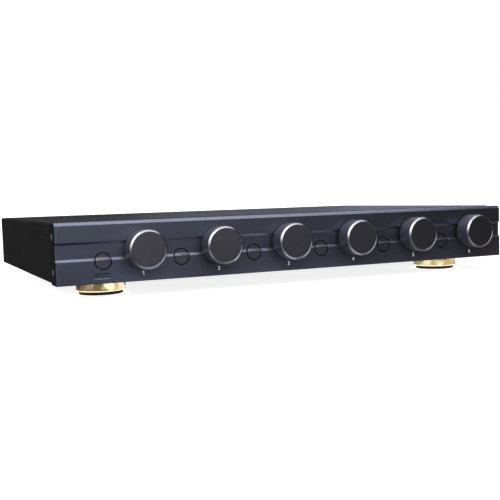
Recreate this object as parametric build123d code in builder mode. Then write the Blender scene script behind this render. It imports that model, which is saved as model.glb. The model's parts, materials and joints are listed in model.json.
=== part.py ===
"""Six-zone speaker selector switch with a volume knob and an on/off button for each zone.

Frame: +X to the right seen from the front, +Y to the rear, +Z up. The origin is on the
surface that the feet stand on, in the middle of the overall box. All lengths are in mm.
"""
from build123d import *
import os

os.makedirs("parts", exist_ok=True)

# ---------------------------------------------------------------- driving dimensions
# Case
case_w = 431.8          # over the two end caps
case_d = 288.0          # face of the front panel to the rear edge of the cover
panel_h = 48.6          # height of the front panel
stand_h = 12.1          # ground to the lower edge of the front panel
sheet_t = 1.2           # steel of tray, cover and rear panel
tray_lift = 1.6         # underside of the tray above the panel's lower edge
cover_rise = 0.4        # top of the cover above the top of the front panel
cover_inset = 0.3       # cover side inside the end cap's face
cover_bend_r = 1.8      # outer bend radius of the cover
seam_gap = 0.3          # seam between front panel and cover
seat_gap = 0.15         # slip between nested sheets

# Front panel extrusion
face_t = 6.0            # thickness of its face
flange_t = 2.5          # thickness of its top and bottom flanges
bevel = 2.3             # bright bevel along the top front edge
edge_break = 0.5        # small bevel along the bottom front edge
channel_d = 1.5         # depth of the wide groove across the face
channel_lo = 18.3       # lower edge of the groove, above the panel's lower edge
channel_top = 15.4      # upper edge of the groove, below the panel's top
channel_slope = 1.9     # height of each sloping side of the groove
ledge_d = 6.5           # ledge behind the top flange, under the cover
end_cap_t = 2.0         # thickness of the end caps
rail_h = 6.4            # height of the two screw rails behind the face
rail_lo = 10.5          # lower rail's centre above the panel's lower edge
rail_top = 10.6         # upper rail's centre below the panel's top
rail_bite = 5.0         # how far the plate's screws reach into the rails
cap_screw_d = 9.0       # end cap screws, behind the face

# Controls
zones = 6
zone_pitch = 64.9       # from knob to knob
knob_r = 15.5
knob_proud = 17.3       # knob's face in front of the panel's face
knob_gap = 1.2          # knob's skirt in front of the panel's face
knob_wall = 2.6         # skirt wall
knob_face_t = 3.4       # solid front of the knob
knob_bevel = 1.4        # bright bevel round the knob's face
knob_dish = 0.35        # flat recess inside the bevel
knob_z = 25.8           # knob's axis above the panel's lower edge
hub_short = 1.0         # hub ends this far inside the skirt's rim
hub_r = 6.0
shaft_r = 3.0
shaft_flat = 2.0        # the shaft's flat, from its axis
shaft_fit = 0.05        # running clearance on the radius
shaft_seat = 0.3        # shaft's end short of the knob's blind bore
shaft_hole_gap = 1.8    # room round the shaft in the panel's face
bushing_r = 4.5
bushing_start = 3.0     # bushing's front end behind the back of the face
bushing_fit = 0.1
nut_flats = 12.0
nut_t = 2.5
button_r = 6.4
button_gap = 0.6        # gap round the button
button_z = 17.7         # button's axis above the panel's lower edge
button_len = 8.0
button_travel = 3.0
plunger_w = 4.0
plunger_in = 10.0       # plunger inside the switch at rest
plunger_room = 1.5      # left at the end of its travel
plunger_window = 1.0    # plate opening wider than the plunger
plunger_fit = 0.15
plate_d = 14.0          # control plate's front, behind the panel's face
plate_t = 1.5
plate_cover = 2.0       # flange behind the plate's groove
plate_groove = 1.0      # how deep it sits in the flanges' grooves
plate_fit = 0.1
drum_r = 12.5           # volume switch body
drum_len = 20.5
wafer_r = 13.5
wafer_t = 2.0
wafer_back = (9.0, 4.0)   # wafers' fronts, ahead of the drum's rear face
shaft_tail = 4.5        # shaft's end ahead of the drum's rear face
shaft_end_gap = 0.5
rotor_r = 10.0
rotor_t = 1.5
rotor_gap = 0.5
rotor_set = 7.5         # rotor behind the plate
rotor_steps = 12
switch_w = 12.0         # push switch body, square
switch_len = 24.5
board_t = 1.6
board_w = 390.0
board_d = 42.0
board_set = 5.0         # board behind the plate
label_w, label_h, label_t = 13.0, 4.6, 1.2
label_sink = 0.4        # face of the label plate below the panel's face
label_shift = 1.0       # label plate left of the first button
label_z = 5.9

# Inside
core_w, core_t, core_h = 34.0, 16.0, 29.0
core_leg = 5.5          # outer legs and yokes of the laminated core
coil_gap = 0.25
coil_over = 5.0         # winding in front of and behind the core
core_rows = (105.0, 170.0)   # the two transformers of a zone, behind the face
lead_w, lead_t = 12.0, 1.0
lead_rise = 9.2         # leads' long run above the knob's axis
lead_turn = (200.0, 250.0)   # where the leads cross over to their strips
lead_drop = 272.0       # where the leads turn down, behind the face
ear_leg_t = 3.0         # ear bracket
ear_depth = 30.0
ear_foot = 20.0
ear_gap = 3.8           # bracket below the cover
ear_screw_in = 12.0     # bracket screws from the end cap
ear_screw_z = (18.5, 31.5)
ear_hole_d = 27.6       # ear holes behind the face
ear_hole_r = 2.0
ear_clear_r = 2.2

# Tray and rear
tray_lip = 11.2         # tray's side lips above its floor
tray_front_lip = 6.5
lip_h = 12.0            # the cover's rear lip
rear_flange = 12.5
strip_n = 7             # one input and six zones
strip_pitch = 58.0
strip_ways = 4
way_pitch = 9.5
strip_wall = 1.4
strip_ear = 7.0
strip_h = 19.0
strip_base = 4.0
strip_proud = 12.0
strip_rib_h = 5.0
strip_rib = 5.8         # solder rib through the rear panel
strip_slot_gap = 0.3
strip_rib_in = 1.0      # rib shorter than the ways at each end
clamp_t = 1.0           # square clamp washers under the terminal screws
clamp_gap = 0.4

# Feet
foot_r = 20.5
foot_wall = 2.0
foot_show = 2.9         # rubber below the metal
foot_x = 45.5           # centre from the side of the case
foot_front = 43.8       # front feet behind the face
foot_rear = 44.0        # rear feet in front of the cover's rear edge
pad_r = 18.3
pad_bore = 5.5
foot_bevel = 0.8

# Screws: core radius, head radius and head height
m3_r, m3_head_r, m3_head_h = 1.25, 2.8, 2.0
m4_r, m4_head_r, m4_head_h = 1.75, 3.6, 2.6
screw_fit = 0.05
m3_clear = 1.6
recess_w, recess_d = 0.8, 1.0   # cross recess in every head
recess_span = 1.1       # its length in head radii
sheet_screw = 6.0       # screws through the case's sheets
screw_past = 1.5        # others reach this far past what they hold
cap_screw = 8.0         # end cap screws in the rails

# ---------------------------------------------------------------- places worked out
overall_d = knob_proud + case_d - sheet_t + strip_proud
face_y = knob_proud - overall_d / 2


def back(d):
    """World y of a place d behind the front panel's face."""
    return face_y + d


def up(h):
    """World z of a place h above the front panel's lower edge."""
    return stand_h + h


half_w = case_w / 2
plate_back = plate_d + plate_t
panel_d = plate_back + plate_cover
channel_hi = panel_h - channel_top
rail_z = (rail_lo, panel_h - rail_top)
row_start = -zone_pitch * (zones - 0.5) / 2
button_x = [row_start + zone_pitch * i for i in range(zones)]
knob_x = [x + zone_pitch / 2 for x in button_x]
floor_z = tray_lift + sheet_t
cover_top = panel_h + cover_rise
cover_x = half_w - cover_inset
cover_front = panel_d + seam_gap
tray_x = cover_x - sheet_t - seat_gap
rear_out = case_d - sheet_t
board_top = button_z - switch_w / 2
board_back = plate_back + board_set + board_d
drum_back = plate_back + drum_len
rotor_front = plate_back + rotor_set
strip_x = [strip_pitch * (i - (strip_n - 1) / 2) for i in range(strip_n)]
zone_strip_x, input_x = strip_x[1:], strip_x[0]
strip_w = strip_ways * way_pitch + strip_wall
strip_screw_x = strip_w / 2 + strip_ear / 2
rib_w = strip_w - 2 * strip_rib_in
lead_end = rear_out - sheet_t - strip_rib
bracket_x = tray_x - sheet_t
ear_top = cover_top - sheet_t - ear_gap
lead_z = knob_z + lead_rise
strip_z = (floor_z + cover_top - lip_h) / 2
feet = {
    "front_left": (foot_x - half_w, back(foot_front)),
    "front_right": (half_w - foot_x, back(foot_front)),
    "rear_left": (foot_x - half_w, back(case_d - foot_rear)),
    "rear_right": (half_w - foot_x, back(case_d - foot_rear)),
}
rail_screw_x = [0.0, -130.0, 130.0]
lip_screw_x = [-195.0, -65.0, 65.0, 195.0]
floor_screw_x = [-150.0, 0.0, 150.0]
floor_screw_d = rear_out - rear_flange / 2
lip_screw_z = cover_top - sheet_t - (lip_h - sheet_t) / 2
ear_screw_x = half_w - end_cap_t - ear_screw_in


FORWARD, UPWARD = (0, -1, 0), (0, 0, 1)


def facing(d):
    """Plane across the object at depth d: x to the right, local y up, normal to the front."""
    return Plane(origin=(0, back(d), 0), x_dir=(1, 0, 0), z_dir=(0, -1, 0))


def front_edge():
    """The panel's front outline from its lower edge up, as (y, z) points."""
    points = [
        (edge_break, 0),
        (0, edge_break),
        (0, channel_lo),
        (channel_d, channel_lo + channel_slope),
        (channel_d, channel_hi - channel_slope),
        (0, channel_hi),
        (0, panel_h - bevel),
        (bevel, panel_h),
    ]
    return [(back(d), up(h)) for d, h in points]


def save(builder, name):
    """Label a finished sub-part and write its STEP file."""
    builder.part.label = name
    export_step(builder.part, f"parts/{name}.step")


# ---------------------------------------------------------------- screws
def screw(place, direction, length, core_r, head_r, head_h):
    """A pan-head screw: its head stands on `place` and its core runs along `direction`."""
    seat = Plane(origin=place, z_dir=direction)
    with BuildPart(mode=Mode.PRIVATE) as made:
        with BuildSketch(seat):
            Circle(core_r)
        extrude(amount=length)
        with BuildSketch(seat):
            Circle(head_r)
        extrude(amount=-head_h)
        chamfer(made.faces().sort_by(Axis(place, direction))[0].edges(), head_h / 4)
        with BuildSketch(seat.offset(-head_h)):
            Rectangle(head_r * recess_span, recess_w)
            Rectangle(recess_w, head_r * recess_span)
        extrude(amount=recess_d, mode=Mode.SUBTRACT)
    return made.part


def m3(place, direction, length):
    """An M3 pan-head screw."""
    return screw(place, direction, length, m3_r, m3_head_r, m3_head_h)


# ---------------------------------------------------------------- leads
def lead_tail(x, from_z):
    """A flat lead's upright step from height `from_z` to its strip, and its end on the strip's rib."""
    low, high = sorted((from_z, strip_z))
    with BuildPart(mode=Mode.PRIVATE) as tail:
        with BuildSketch(Plane.XY.offset(up(low - lead_t / 2))):
            with Locations((x, back(lead_drop - lead_t / 2))):
                Rectangle(lead_w, lead_t)
        extrude(amount=high - low + lead_t)
        with BuildSketch(Plane.XY.offset(up(strip_z - lead_t / 2))):
            with Locations((x, back(lead_drop - lead_t))):
                Rectangle(lead_w, lead_end - lead_drop + lead_t, align=(Align.CENTER, Align.MIN))
        extrude(amount=lead_t)
    return tail.part


# ---------------------------------------------------------------- front panel and ends
with BuildPart() as front_panel:
    groove_lo = plate_d - plate_fit
    groove_hi = plate_back + plate_fit
    inner_lo, inner_hi = flange_t, panel_h - flange_t
    with BuildSketch(Plane.YZ.offset(-half_w + end_cap_t)):
        with BuildLine():
            inside = [
                (panel_d, panel_h),
                (panel_d, cover_top - sheet_t),
                (panel_d + ledge_d, cover_top - sheet_t),
                (panel_d + ledge_d, inner_hi),
                (groove_hi, inner_hi),
                (groove_hi, inner_hi + plate_groove),
                (groove_lo, inner_hi + plate_groove),
                (groove_lo, inner_hi),
                (face_t, inner_hi),
                (face_t, inner_lo),
                (groove_lo, inner_lo),
                (groove_lo, inner_lo - plate_groove),
                (groove_hi, inner_lo - plate_groove),
                (groove_hi, inner_lo),
                (panel_d, inner_lo),
                (panel_d, 0),
            ]
            Polyline(front_edge() + [(back(d), up(h)) for d, h in inside], close=True)
        make_face()
        for z in rail_z:
            with Locations((back((face_t + plate_d) / 2), up(z))):
                Rectangle(plate_d - face_t, rail_h)
    extrude(amount=case_w - 2 * end_cap_t)
    with BuildSketch(Plane.YZ.offset(-half_w)):
        with Locations([(back(cap_screw_d), up(z)) for z in rail_z]):
            Circle(m3_r + screw_fit)
    extrude(amount=case_w, mode=Mode.SUBTRACT)
    with BuildSketch(facing(0)):
        with Locations([(x, up(button_z)) for x in button_x]):
            Circle(button_r + button_gap)
        with Locations([(x, up(knob_z)) for x in knob_x]):
            Circle(shaft_r + shaft_hole_gap)
    extrude(amount=-plate_d, mode=Mode.SUBTRACT)
    with BuildSketch(facing(0)):
        with Locations((button_x[0] - label_shift, up(label_z))):
            Rectangle(label_w, label_h)
    extrude(amount=-(label_sink + label_t), mode=Mode.SUBTRACT)
    with BuildSketch(facing(plate_d)):
        with Locations([(x, up(z)) for x in rail_screw_x for z in rail_z]):
            Circle(m3_r + screw_fit)
    extrude(amount=plate_d - face_t, mode=Mode.SUBTRACT)
save(front_panel, "front_panel")

for side, name in ((-1, "end_cap_left"), (1, "end_cap_right")):
    inner_face = side * (half_w - end_cap_t)
    with BuildPart() as end_cap:
        with BuildSketch(Plane.YZ.offset(inner_face)):
            with BuildLine():
                rear_edge = [(back(panel_d), up(panel_h)), (back(panel_d), up(0))]
                Polyline(front_edge() + rear_edge, close=True)
            make_face()
        extrude(amount=side * end_cap_t)
        for z in rail_z:
            with Locations(Plane(origin=(side * half_w, back(cap_screw_d), up(z)), z_dir=(side, 0, 0))):
                CounterSinkHole(m3_r + 2 * screw_fit, m3_head_r + screw_fit)
    save(end_cap, name)

with BuildPart() as end_cap_screws:
    for side in (-1, 1):
        for z in rail_z:
            out = Plane(origin=(side * half_w, back(cap_screw_d), up(z)), z_dir=(side, 0, 0))
            with BuildSketch(out):
                Circle(m3_head_r)
            with BuildSketch(out.offset(m3_r - m3_head_r)):
                Circle(m3_r)
            loft()
            with BuildSketch(out.offset(m3_r - m3_head_r)):
                Circle(m3_r)
            extrude(amount=-cap_screw)
            with BuildSketch(out):
                Rectangle(m3_head_r * recess_span, recess_w)
                Rectangle(recess_w, m3_head_r * recess_span)
            extrude(amount=-recess_d, mode=Mode.SUBTRACT)
save(end_cap_screws, "end_cap_screws")

with BuildPart() as label_plate:
    with BuildSketch(facing(label_sink)):
        with Locations((button_x[0] - label_shift, up(label_z))):
            Rectangle(label_w, label_h)
    extrude(amount=-label_t)
save(label_plate, "label_plate")

# ---------------------------------------------------------------- control plate
with BuildPart() as control_plate:
    plate_h = panel_h - 2 * (flange_t - plate_groove) - 2 * plate_fit
    with BuildSketch(facing(plate_d)):
        with Locations((0, up(panel_h / 2))):
            Rectangle(case_w - 2 * end_cap_t - 2 * seat_gap, plate_h)
        with Locations([(x, up(knob_z)) for x in knob_x]):
            Circle(bushing_r + bushing_fit, mode=Mode.SUBTRACT)
        with Locations([(x, up(button_z)) for x in button_x]):
            Rectangle(plunger_w + plunger_window, plunger_w + plunger_window, mode=Mode.SUBTRACT)
        with Locations([(x, up(z)) for x in rail_screw_x for z in rail_z]):
            Circle(m3_clear, mode=Mode.SUBTRACT)
        with Locations([(s * ear_screw_x, up(z)) for s in (-1, 1) for z in ear_screw_z]):
            Circle(m3_r + screw_fit, mode=Mode.SUBTRACT)
    extrude(amount=-plate_t)
save(control_plate, "control_plate")

for side, name in ((-1, "ear_bracket_left"), (1, "ear_bracket_right")):
    with BuildPart() as ear_bracket:
        with BuildSketch(Plane.XY.offset(up(floor_z))):
            with BuildLine():
                Polyline(
                    (side * bracket_x, back(plate_back)),
                    (side * bracket_x, back(plate_back + ear_depth)),
                    (side * (bracket_x - ear_leg_t), back(plate_back + ear_depth)),
                    (side * (bracket_x - ear_leg_t), back(plate_back + ear_leg_t)),
                    (side * (bracket_x - ear_foot), back(plate_back + ear_leg_t)),
                    (side * (bracket_x - ear_foot), back(plate_back)),
                    close=True,
                )
            make_face()
        extrude(amount=ear_top - floor_z)
        with BuildSketch(Plane.YZ.offset(side * bracket_x)):
            with Locations([(back(ear_hole_d), up(z)) for z in rail_z]):
                Circle(ear_hole_r)
        extrude(amount=-side * ear_leg_t, mode=Mode.SUBTRACT)
        with BuildSketch(facing(plate_back)):
            with Locations([(side * ear_screw_x, up(z)) for z in ear_screw_z]):
                Circle(m3_clear)
        extrude(amount=-ear_leg_t, mode=Mode.SUBTRACT)
    save(ear_bracket, name)

# ---------------------------------------------------------------- one zone's controls
for i in range(zones):
    number = i + 1
    kx, kz = knob_x[i], up(knob_z)
    bx, bz = button_x[i], up(button_z)
    knob_axis = Axis((kx, 0, kz), (0, 1, 0))
    knob_plane = Plane(origin=(kx, face_y, kz), x_dir=(1, 0, 0), z_dir=(0, 0, 1))

    with BuildPart() as knob:
        face = -knob_proud
        cavity = face + knob_face_t
        with BuildSketch(knob_plane):
            with BuildLine():
                Polyline(
                    (0, face + knob_dish),
                    (knob_r - knob_bevel - knob_dish, face + knob_dish),
                    (knob_r - knob_bevel, face),
                    (knob_r, face + knob_bevel),
                    (knob_r, -knob_gap),
                    (knob_r - knob_wall, -knob_gap),
                    (knob_r - knob_wall, cavity),
                    (hub_r, cavity),
                    (hub_r, -knob_gap - hub_short),
                    (0, -knob_gap - hub_short),
                    close=True,
                )
            make_face()
        revolve(axis=knob_axis)
        with BuildSketch(facing(-knob_gap)):
            with Locations((kx, kz)):
                Circle(shaft_r + shaft_fit)
            with Locations((kx, kz + shaft_flat + shaft_fit)):
                Rectangle(2 * hub_r, hub_r, align=(Align.CENTER, Align.MIN), mode=Mode.SUBTRACT)
        extrude(amount=-(knob_gap + cavity), mode=Mode.SUBTRACT)
    save(knob, f"knob_{number}")

    with BuildPart() as shaft:
        shaft_front = -knob_proud + knob_face_t + shaft_seat
        with BuildSketch(facing(shaft_front)):
            with Locations((kx, kz)):
                Circle(shaft_r)
        extrude(amount=-(drum_back - shaft_tail - shaft_front))
        with BuildSketch(facing(shaft_front)):
            with Locations((kx, kz + shaft_flat)):
                Rectangle(2 * shaft_r, shaft_r, align=(Align.CENTER, Align.MIN))
        extrude(amount=shaft_front + knob_gap + hub_short, mode=Mode.SUBTRACT)
        with BuildSketch(facing(rotor_front)):
            with Locations((kx, kz)):
                Circle(rotor_r)
        extrude(amount=-rotor_t)
        with BuildSketch(facing(rotor_front)):
            with Locations((kx, kz)):
                with PolarLocations(rotor_r, rotor_steps):
                    Circle(rotor_t / 2)
        extrude(amount=-rotor_t, mode=Mode.SUBTRACT)
    save(shaft, f"shaft_{number}")

    with BuildPart() as volume_switch:
        with BuildSketch(facing(plate_back)):
            with Locations((kx, kz)):
                Circle(drum_r)
        extrude(amount=-drum_len)
        for ahead in wafer_back:
            with BuildSketch(facing(drum_back - ahead)):
                with Locations((kx, kz)):
                    Circle(wafer_r)
            extrude(amount=-wafer_t)
        with BuildSketch(facing(plate_back)):
            with Locations((kx, kz)):
                Circle(bushing_r)
        extrude(amount=plate_back - face_t - bushing_start)
        with BuildSketch(facing(face_t)):
            with Locations((kx, kz)):
                Circle(shaft_r + shaft_fit)
        extrude(amount=-(drum_back - shaft_tail + shaft_end_gap - face_t), mode=Mode.SUBTRACT)
        with BuildSketch(facing(rotor_front - rotor_gap)):
            with Locations((kx, kz)):
                Circle(rotor_r + rotor_gap)
        extrude(amount=-(rotor_t + 2 * rotor_gap), mode=Mode.SUBTRACT)
    save(volume_switch, f"volume_switch_{number}")

    with BuildPart() as button:
        with BuildSketch(facing(0)):
            with Locations((bx, bz)):
                Circle(button_r)
        extrude(amount=-button_len)
        with BuildSketch(Plane.YZ.offset(bx - 2 * button_r)):
            with BuildLine():
                rear_edge = [(back(panel_d), up(panel_h)), (back(panel_d), up(0))]
                Polyline(front_edge() + rear_edge, close=True)
            make_face()
        extrude(amount=4 * button_r, mode=Mode.INTERSECT)
        with BuildSketch(facing(button_len)):
            with Locations((bx, bz)):
                Rectangle(plunger_w, plunger_w)
        extrude(amount=button_len / 2, mode=Mode.SUBTRACT)
    save(button, f"button_{number}")

    with BuildPart() as plunger:
        with BuildSketch(facing(button_len / 2)):
            with Locations((bx, bz)):
                Rectangle(plunger_w, plunger_w)
        extrude(amount=-(plate_back + plunger_in - button_len / 2))
    save(plunger, f"plunger_{number}")

    with BuildPart() as transformer_pair:
        window_w = (core_w - 4 * core_leg) / 2
        for row in core_rows:
            mid_z = up(floor_z + core_h / 2)
            with BuildSketch(facing(row - core_t / 2)):
                with Locations((kx, mid_z)):
                    Rectangle(core_w, core_h)
                with Locations([(kx + s * (core_leg + window_w / 2), mid_z) for s in (-1, 1)]):
                    Rectangle(window_w, core_h - 2 * core_leg, mode=Mode.SUBTRACT)
            extrude(amount=-core_t)
            with BuildPart(mode=Mode.PRIVATE) as coil:
                with BuildSketch(facing(row - core_t / 2 - coil_over)):
                    with Locations((kx, mid_z)):
                        Rectangle(2 * (core_leg + window_w - coil_gap), core_h - 2 * (core_leg + coil_gap))
                extrude(amount=-(core_t + 2 * coil_over))
                with BuildSketch(facing(row - core_t / 2 - coil_gap)):
                    with Locations((kx, mid_z)):
                        Rectangle(2 * (core_leg + coil_gap), core_h)
                extrude(amount=-(core_t + 2 * coil_gap), mode=Mode.SUBTRACT)
            add(coil.part)
    save(transformer_pair, f"transformer_pair_{number}")

with BuildPart() as shaft_nuts:
    with BuildSketch(facing(plate_d)):
        with Locations([(x, up(knob_z)) for x in knob_x]):
            RegularPolygon(nut_flats / 2, 6, major_radius=False)
            Circle(bushing_r + bushing_fit, mode=Mode.SUBTRACT)
    extrude(amount=nut_t)
save(shaft_nuts, "shaft_nuts")

with BuildPart() as push_switches:
    with BuildSketch(facing(plate_back)):
        with Locations([(x, up(button_z)) for x in button_x]):
            Rectangle(switch_w, switch_w)
    extrude(amount=-switch_len)
    with BuildSketch(facing(plate_back)):
        with Locations([(x, up(button_z)) for x in button_x]):
            Rectangle(plunger_w + 2 * plunger_fit, plunger_w + 2 * plunger_fit)
    extrude(amount=-(plunger_in + button_travel + plunger_room), mode=Mode.SUBTRACT)
save(push_switches, "push_switches")

with BuildPart() as switch_board:
    with BuildSketch(Plane.XY.offset(up(board_top))):
        with Locations((0, back(plate_back + board_set + board_d / 2))):
            Rectangle(board_w, board_d)
    extrude(amount=-board_t)
save(switch_board, "switch_board")

with BuildPart() as zone_leads:
    for knob_at, strip_at in zip(knob_x, zone_strip_x):
        with BuildSketch(Plane.XY.offset(up(lead_z - lead_t / 2))):
            with BuildLine():
                route = [
                    (knob_at, drum_back),
                    (knob_at, lead_turn[0]),
                    (strip_at, lead_turn[1]),
                    (strip_at, lead_drop),
                ]
                left = [(x - lead_w / 2, back(d)) for x, d in route]
                right = [(x + lead_w / 2, back(d)) for x, d in route]
                Polyline(left + right[::-1], close=True)
            make_face()
        extrude(amount=lead_t)
        add(lead_tail(strip_at, lead_z))
    with BuildSketch(Plane.XY.offset(up(board_top - lead_t))):
        with Locations((input_x, back(board_back))):
            Rectangle(lead_w, lead_drop - board_back, align=(Align.CENTER, Align.MIN))
    extrude(amount=lead_t)
    add(lead_tail(input_x, board_top - lead_t / 2))
save(zone_leads, "zone_leads")

# ---------------------------------------------------------------- tray, cover, rear panel
with BuildPart() as bottom_tray:
    with BuildSketch(Plane.XY.offset(up(tray_lift))):
        with Locations((0, back((cover_front + rear_out) / 2))):
            Rectangle(2 * tray_x, rear_out - cover_front)
    extrude(amount=sheet_t)
    with BuildSketch(Plane.XY.offset(up(floor_z))):
        with Locations([(s * (tray_x - sheet_t / 2), back((cover_front + rear_out) / 2)) for s in (-1, 1)]):
            Rectangle(sheet_t, rear_out - cover_front)
    extrude(amount=tray_lip)
    with BuildSketch(Plane.XY.offset(up(floor_z))):
        with Locations((0, back(cover_front + sheet_t / 2))):
            Rectangle(2 * (bracket_x - ear_foot - seat_gap), sheet_t)
    extrude(amount=tray_front_lip)
    with BuildSketch(Plane.YZ.offset(-half_w)):
        with Locations((back(ear_hole_d), up(rail_z[0]))):
            Circle(ear_clear_r)
    extrude(amount=case_w, mode=Mode.SUBTRACT)
    with BuildSketch(Plane.XY.offset(up(tray_lift))):
        with Locations(list(feet.values())):
            Circle(m4_r + screw_fit)
        with Locations([(x, back(floor_screw_d)) for x in floor_screw_x]):
            Circle(m3_clear)
    extrude(amount=sheet_t, mode=Mode.SUBTRACT)
save(bottom_tray, "bottom_tray")

with BuildPart() as top_cover:
    with BuildSketch(facing(cover_front)):
        with Locations((0, up(tray_lift))):
            Rectangle(2 * cover_x, cover_top - tray_lift, align=(Align.CENTER, Align.MIN))
    extrude(amount=-(case_d - cover_front))
    long_edges = top_cover.edges().filter_by(Axis.Y).group_by(Axis.Z)[-1]
    fillet(long_edges, cover_bend_r)
    with BuildSketch(facing(cover_front)):
        with Locations((0, up(tray_lift))):
            inner = Rectangle(
                2 * (cover_x - sheet_t), cover_top - sheet_t - tray_lift, align=(Align.CENTER, Align.MIN)
            )
        fillet(inner.vertices().group_by(Axis.Y)[-1], cover_bend_r - sheet_t)
    extrude(amount=-(rear_out - cover_front), mode=Mode.SUBTRACT)
    with BuildSketch(facing(case_d)):
        with Locations((0, up(tray_lift))):
            Rectangle(2 * cover_x, cover_top - lip_h - tray_lift, align=(Align.CENTER, Align.MIN))
    extrude(amount=sheet_t, mode=Mode.SUBTRACT)
    with BuildSketch(Plane.YZ.offset(-half_w)):
        with Locations([(back(ear_hole_d), up(z)) for z in rail_z]):
            Circle(ear_clear_r)
    extrude(amount=case_w, mode=Mode.SUBTRACT)
    with BuildSketch(facing(case_d)):
        with Locations([(x, up(lip_screw_z)) for x in lip_screw_x]):
            Circle(m3_clear)
    extrude(amount=sheet_t, mode=Mode.SUBTRACT)
save(top_cover, "top_cover")

with BuildPart() as rear_panel:
    rear_w = 2 * (tray_x - sheet_t - seat_gap)
    with BuildSketch(facing(rear_out)):
        with Locations((0, up(floor_z))):
            Rectangle(rear_w, cover_top - sheet_t - floor_z, align=(Align.CENTER, Align.MIN))
        with Locations([(x, up(strip_z)) for x in strip_x]):
            Rectangle(
                rib_w + 2 * strip_slot_gap, strip_rib_h + 2 * strip_slot_gap, mode=Mode.SUBTRACT
            )
        with Locations([(x + s * strip_screw_x, up(strip_z)) for x in strip_x for s in (-1, 1)]):
            Circle(m3_r + screw_fit, mode=Mode.SUBTRACT)
        with Locations([(x, up(lip_screw_z)) for x in lip_screw_x]):
            Circle(m3_r + screw_fit, mode=Mode.SUBTRACT)
    extrude(amount=sheet_t)
    with BuildSketch(facing(rear_out - sheet_t)):
        with Locations((0, up(floor_z))):
            Rectangle(rear_w, sheet_t, align=(Align.CENTER, Align.MIN))
        with Locations((0, up(cover_top - sheet_t))):
            Rectangle(rear_w, sheet_t, align=(Align.CENTER, Align.MAX))
    extrude(amount=rear_flange)
    with BuildSketch(Plane.XY.offset(up(floor_z))):
        with Locations([(x, back(floor_screw_d)) for x in floor_screw_x]):
            Circle(m3_r + screw_fit)
    extrude(amount=sheet_t, mode=Mode.SUBTRACT)
save(rear_panel, "rear_panel")

# ---------------------------------------------------------------- terminal strips
with BuildPart() as terminal_strips:
    for x in strip_x:
        with BuildSketch(facing(rear_out)):
            with Locations((x, up(strip_z))):
                Rectangle(strip_w + 2 * strip_ear, strip_h)
            with Locations([(x + s * strip_screw_x, up(strip_z)) for s in (-1, 1)]):
                Circle(m3_clear, mode=Mode.SUBTRACT)
        extrude(amount=-strip_base)
        with BuildSketch(facing(rear_out + strip_base)):
            walls = [x + way_pitch * (k - strip_ways / 2) for k in range(strip_ways + 1)]
            with Locations([(wall_x, up(strip_z)) for wall_x in walls]):
                Rectangle(strip_wall, strip_h)
        extrude(amount=-(strip_proud - strip_base))
        with BuildSketch(facing(rear_out)):
            with Locations((x, up(strip_z))):
                Rectangle(rib_w, strip_rib_h)
        extrude(amount=sheet_t + strip_rib)
        with BuildSketch(facing(rear_out + strip_base)):
            with Locations(
                [(x + way_pitch * (k + 0.5 - strip_ways / 2), up(strip_z)) for k in range(strip_ways)]
            ):
                Circle(m3_r + screw_fit)
        extrude(amount=strip_base, mode=Mode.SUBTRACT)
save(terminal_strips, "terminal_strips")

with BuildPart() as terminal_screws:
    clamp_w = way_pitch - strip_wall - 2 * clamp_gap
    for x in strip_x:
        for k in range(strip_ways):
            way_x = x + way_pitch * (k + 0.5 - strip_ways / 2)
            clamp_top = rear_out + strip_base + clamp_t
            with BuildSketch(facing(clamp_top)):
                with Locations((way_x, up(strip_z))):
                    Rectangle(clamp_w, clamp_w)
            extrude(amount=clamp_t)
            add(m3((way_x, back(clamp_top), up(strip_z)), FORWARD, clamp_t + strip_base / 2))
save(terminal_screws, "terminal_screws")

# ---------------------------------------------------------------- feet
for name, (fx, fy) in feet.items():
    foot_axis = Axis((fx, fy, 0), (0, 0, 1))
    with BuildPart() as foot_shell:
        with BuildSketch(Plane(origin=(fx, fy, 0), x_dir=(1, 0, 0), z_dir=(0, -1, 0))):
            with BuildLine():
                Polyline(
                    (ear_clear_r, up(tray_lift) - foot_wall),
                    (pad_r + seat_gap, up(tray_lift) - foot_wall),
                    (pad_r + seat_gap, foot_show),
                    (foot_r - foot_bevel, foot_show),
                    (foot_r, foot_show + foot_bevel),
                    (foot_r, up(tray_lift)),
                    (ear_clear_r, up(tray_lift)),
                    close=True,
                )
            make_face()
        revolve(axis=foot_axis)
    save(foot_shell, f"foot_shell_{name}")

with BuildPart() as foot_pads:
    for fx, fy in feet.values():
        with BuildSketch():
            with Locations((fx, fy)):
                Circle(pad_r)
                Circle(pad_bore, mode=Mode.SUBTRACT)
        extrude(amount=up(tray_lift) - foot_wall)
    ground_edges = foot_pads.edges().filter_by(GeomType.CIRCLE).group_by(Axis.Z)[0]
    chamfer(ground_edges.sort_by(SortBy.RADIUS)[-len(feet):], foot_bevel)
save(foot_pads, "foot_pads")

with BuildPart() as foot_screws:
    for fx, fy in feet.values():
        place = (fx, fy, up(tray_lift) - foot_wall)
        add(screw(place, UPWARD, foot_wall + sheet_t + screw_past, m4_r, m4_head_r, m4_head_h))
save(foot_screws, "foot_screws")

# ---------------------------------------------------------------- case screws
with BuildPart() as case_screws:
    for x in rail_screw_x:
        for z in rail_z:
            add(m3((x, back(plate_back), up(z)), FORWARD, plate_t + rail_bite))
    for side in (-1, 1):
        for z in ear_screw_z:
            place = (side * ear_screw_x, back(plate_back + ear_leg_t), up(z))
            add(m3(place, FORWARD, ear_leg_t + plate_t + screw_past))
        for x in strip_x:
            place = (x + side * strip_screw_x, back(rear_out + strip_base), up(strip_z))
            add(m3(place, FORWARD, strip_base + sheet_t + screw_past))
    for x in lip_screw_x:
        add(m3((x, back(case_d), up(lip_screw_z)), FORWARD, sheet_screw))
    for x in floor_screw_x:
        add(m3((x, back(floor_screw_d), up(tray_lift)), UPWARD, sheet_screw))
save(case_screws, "case_screws")

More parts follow.
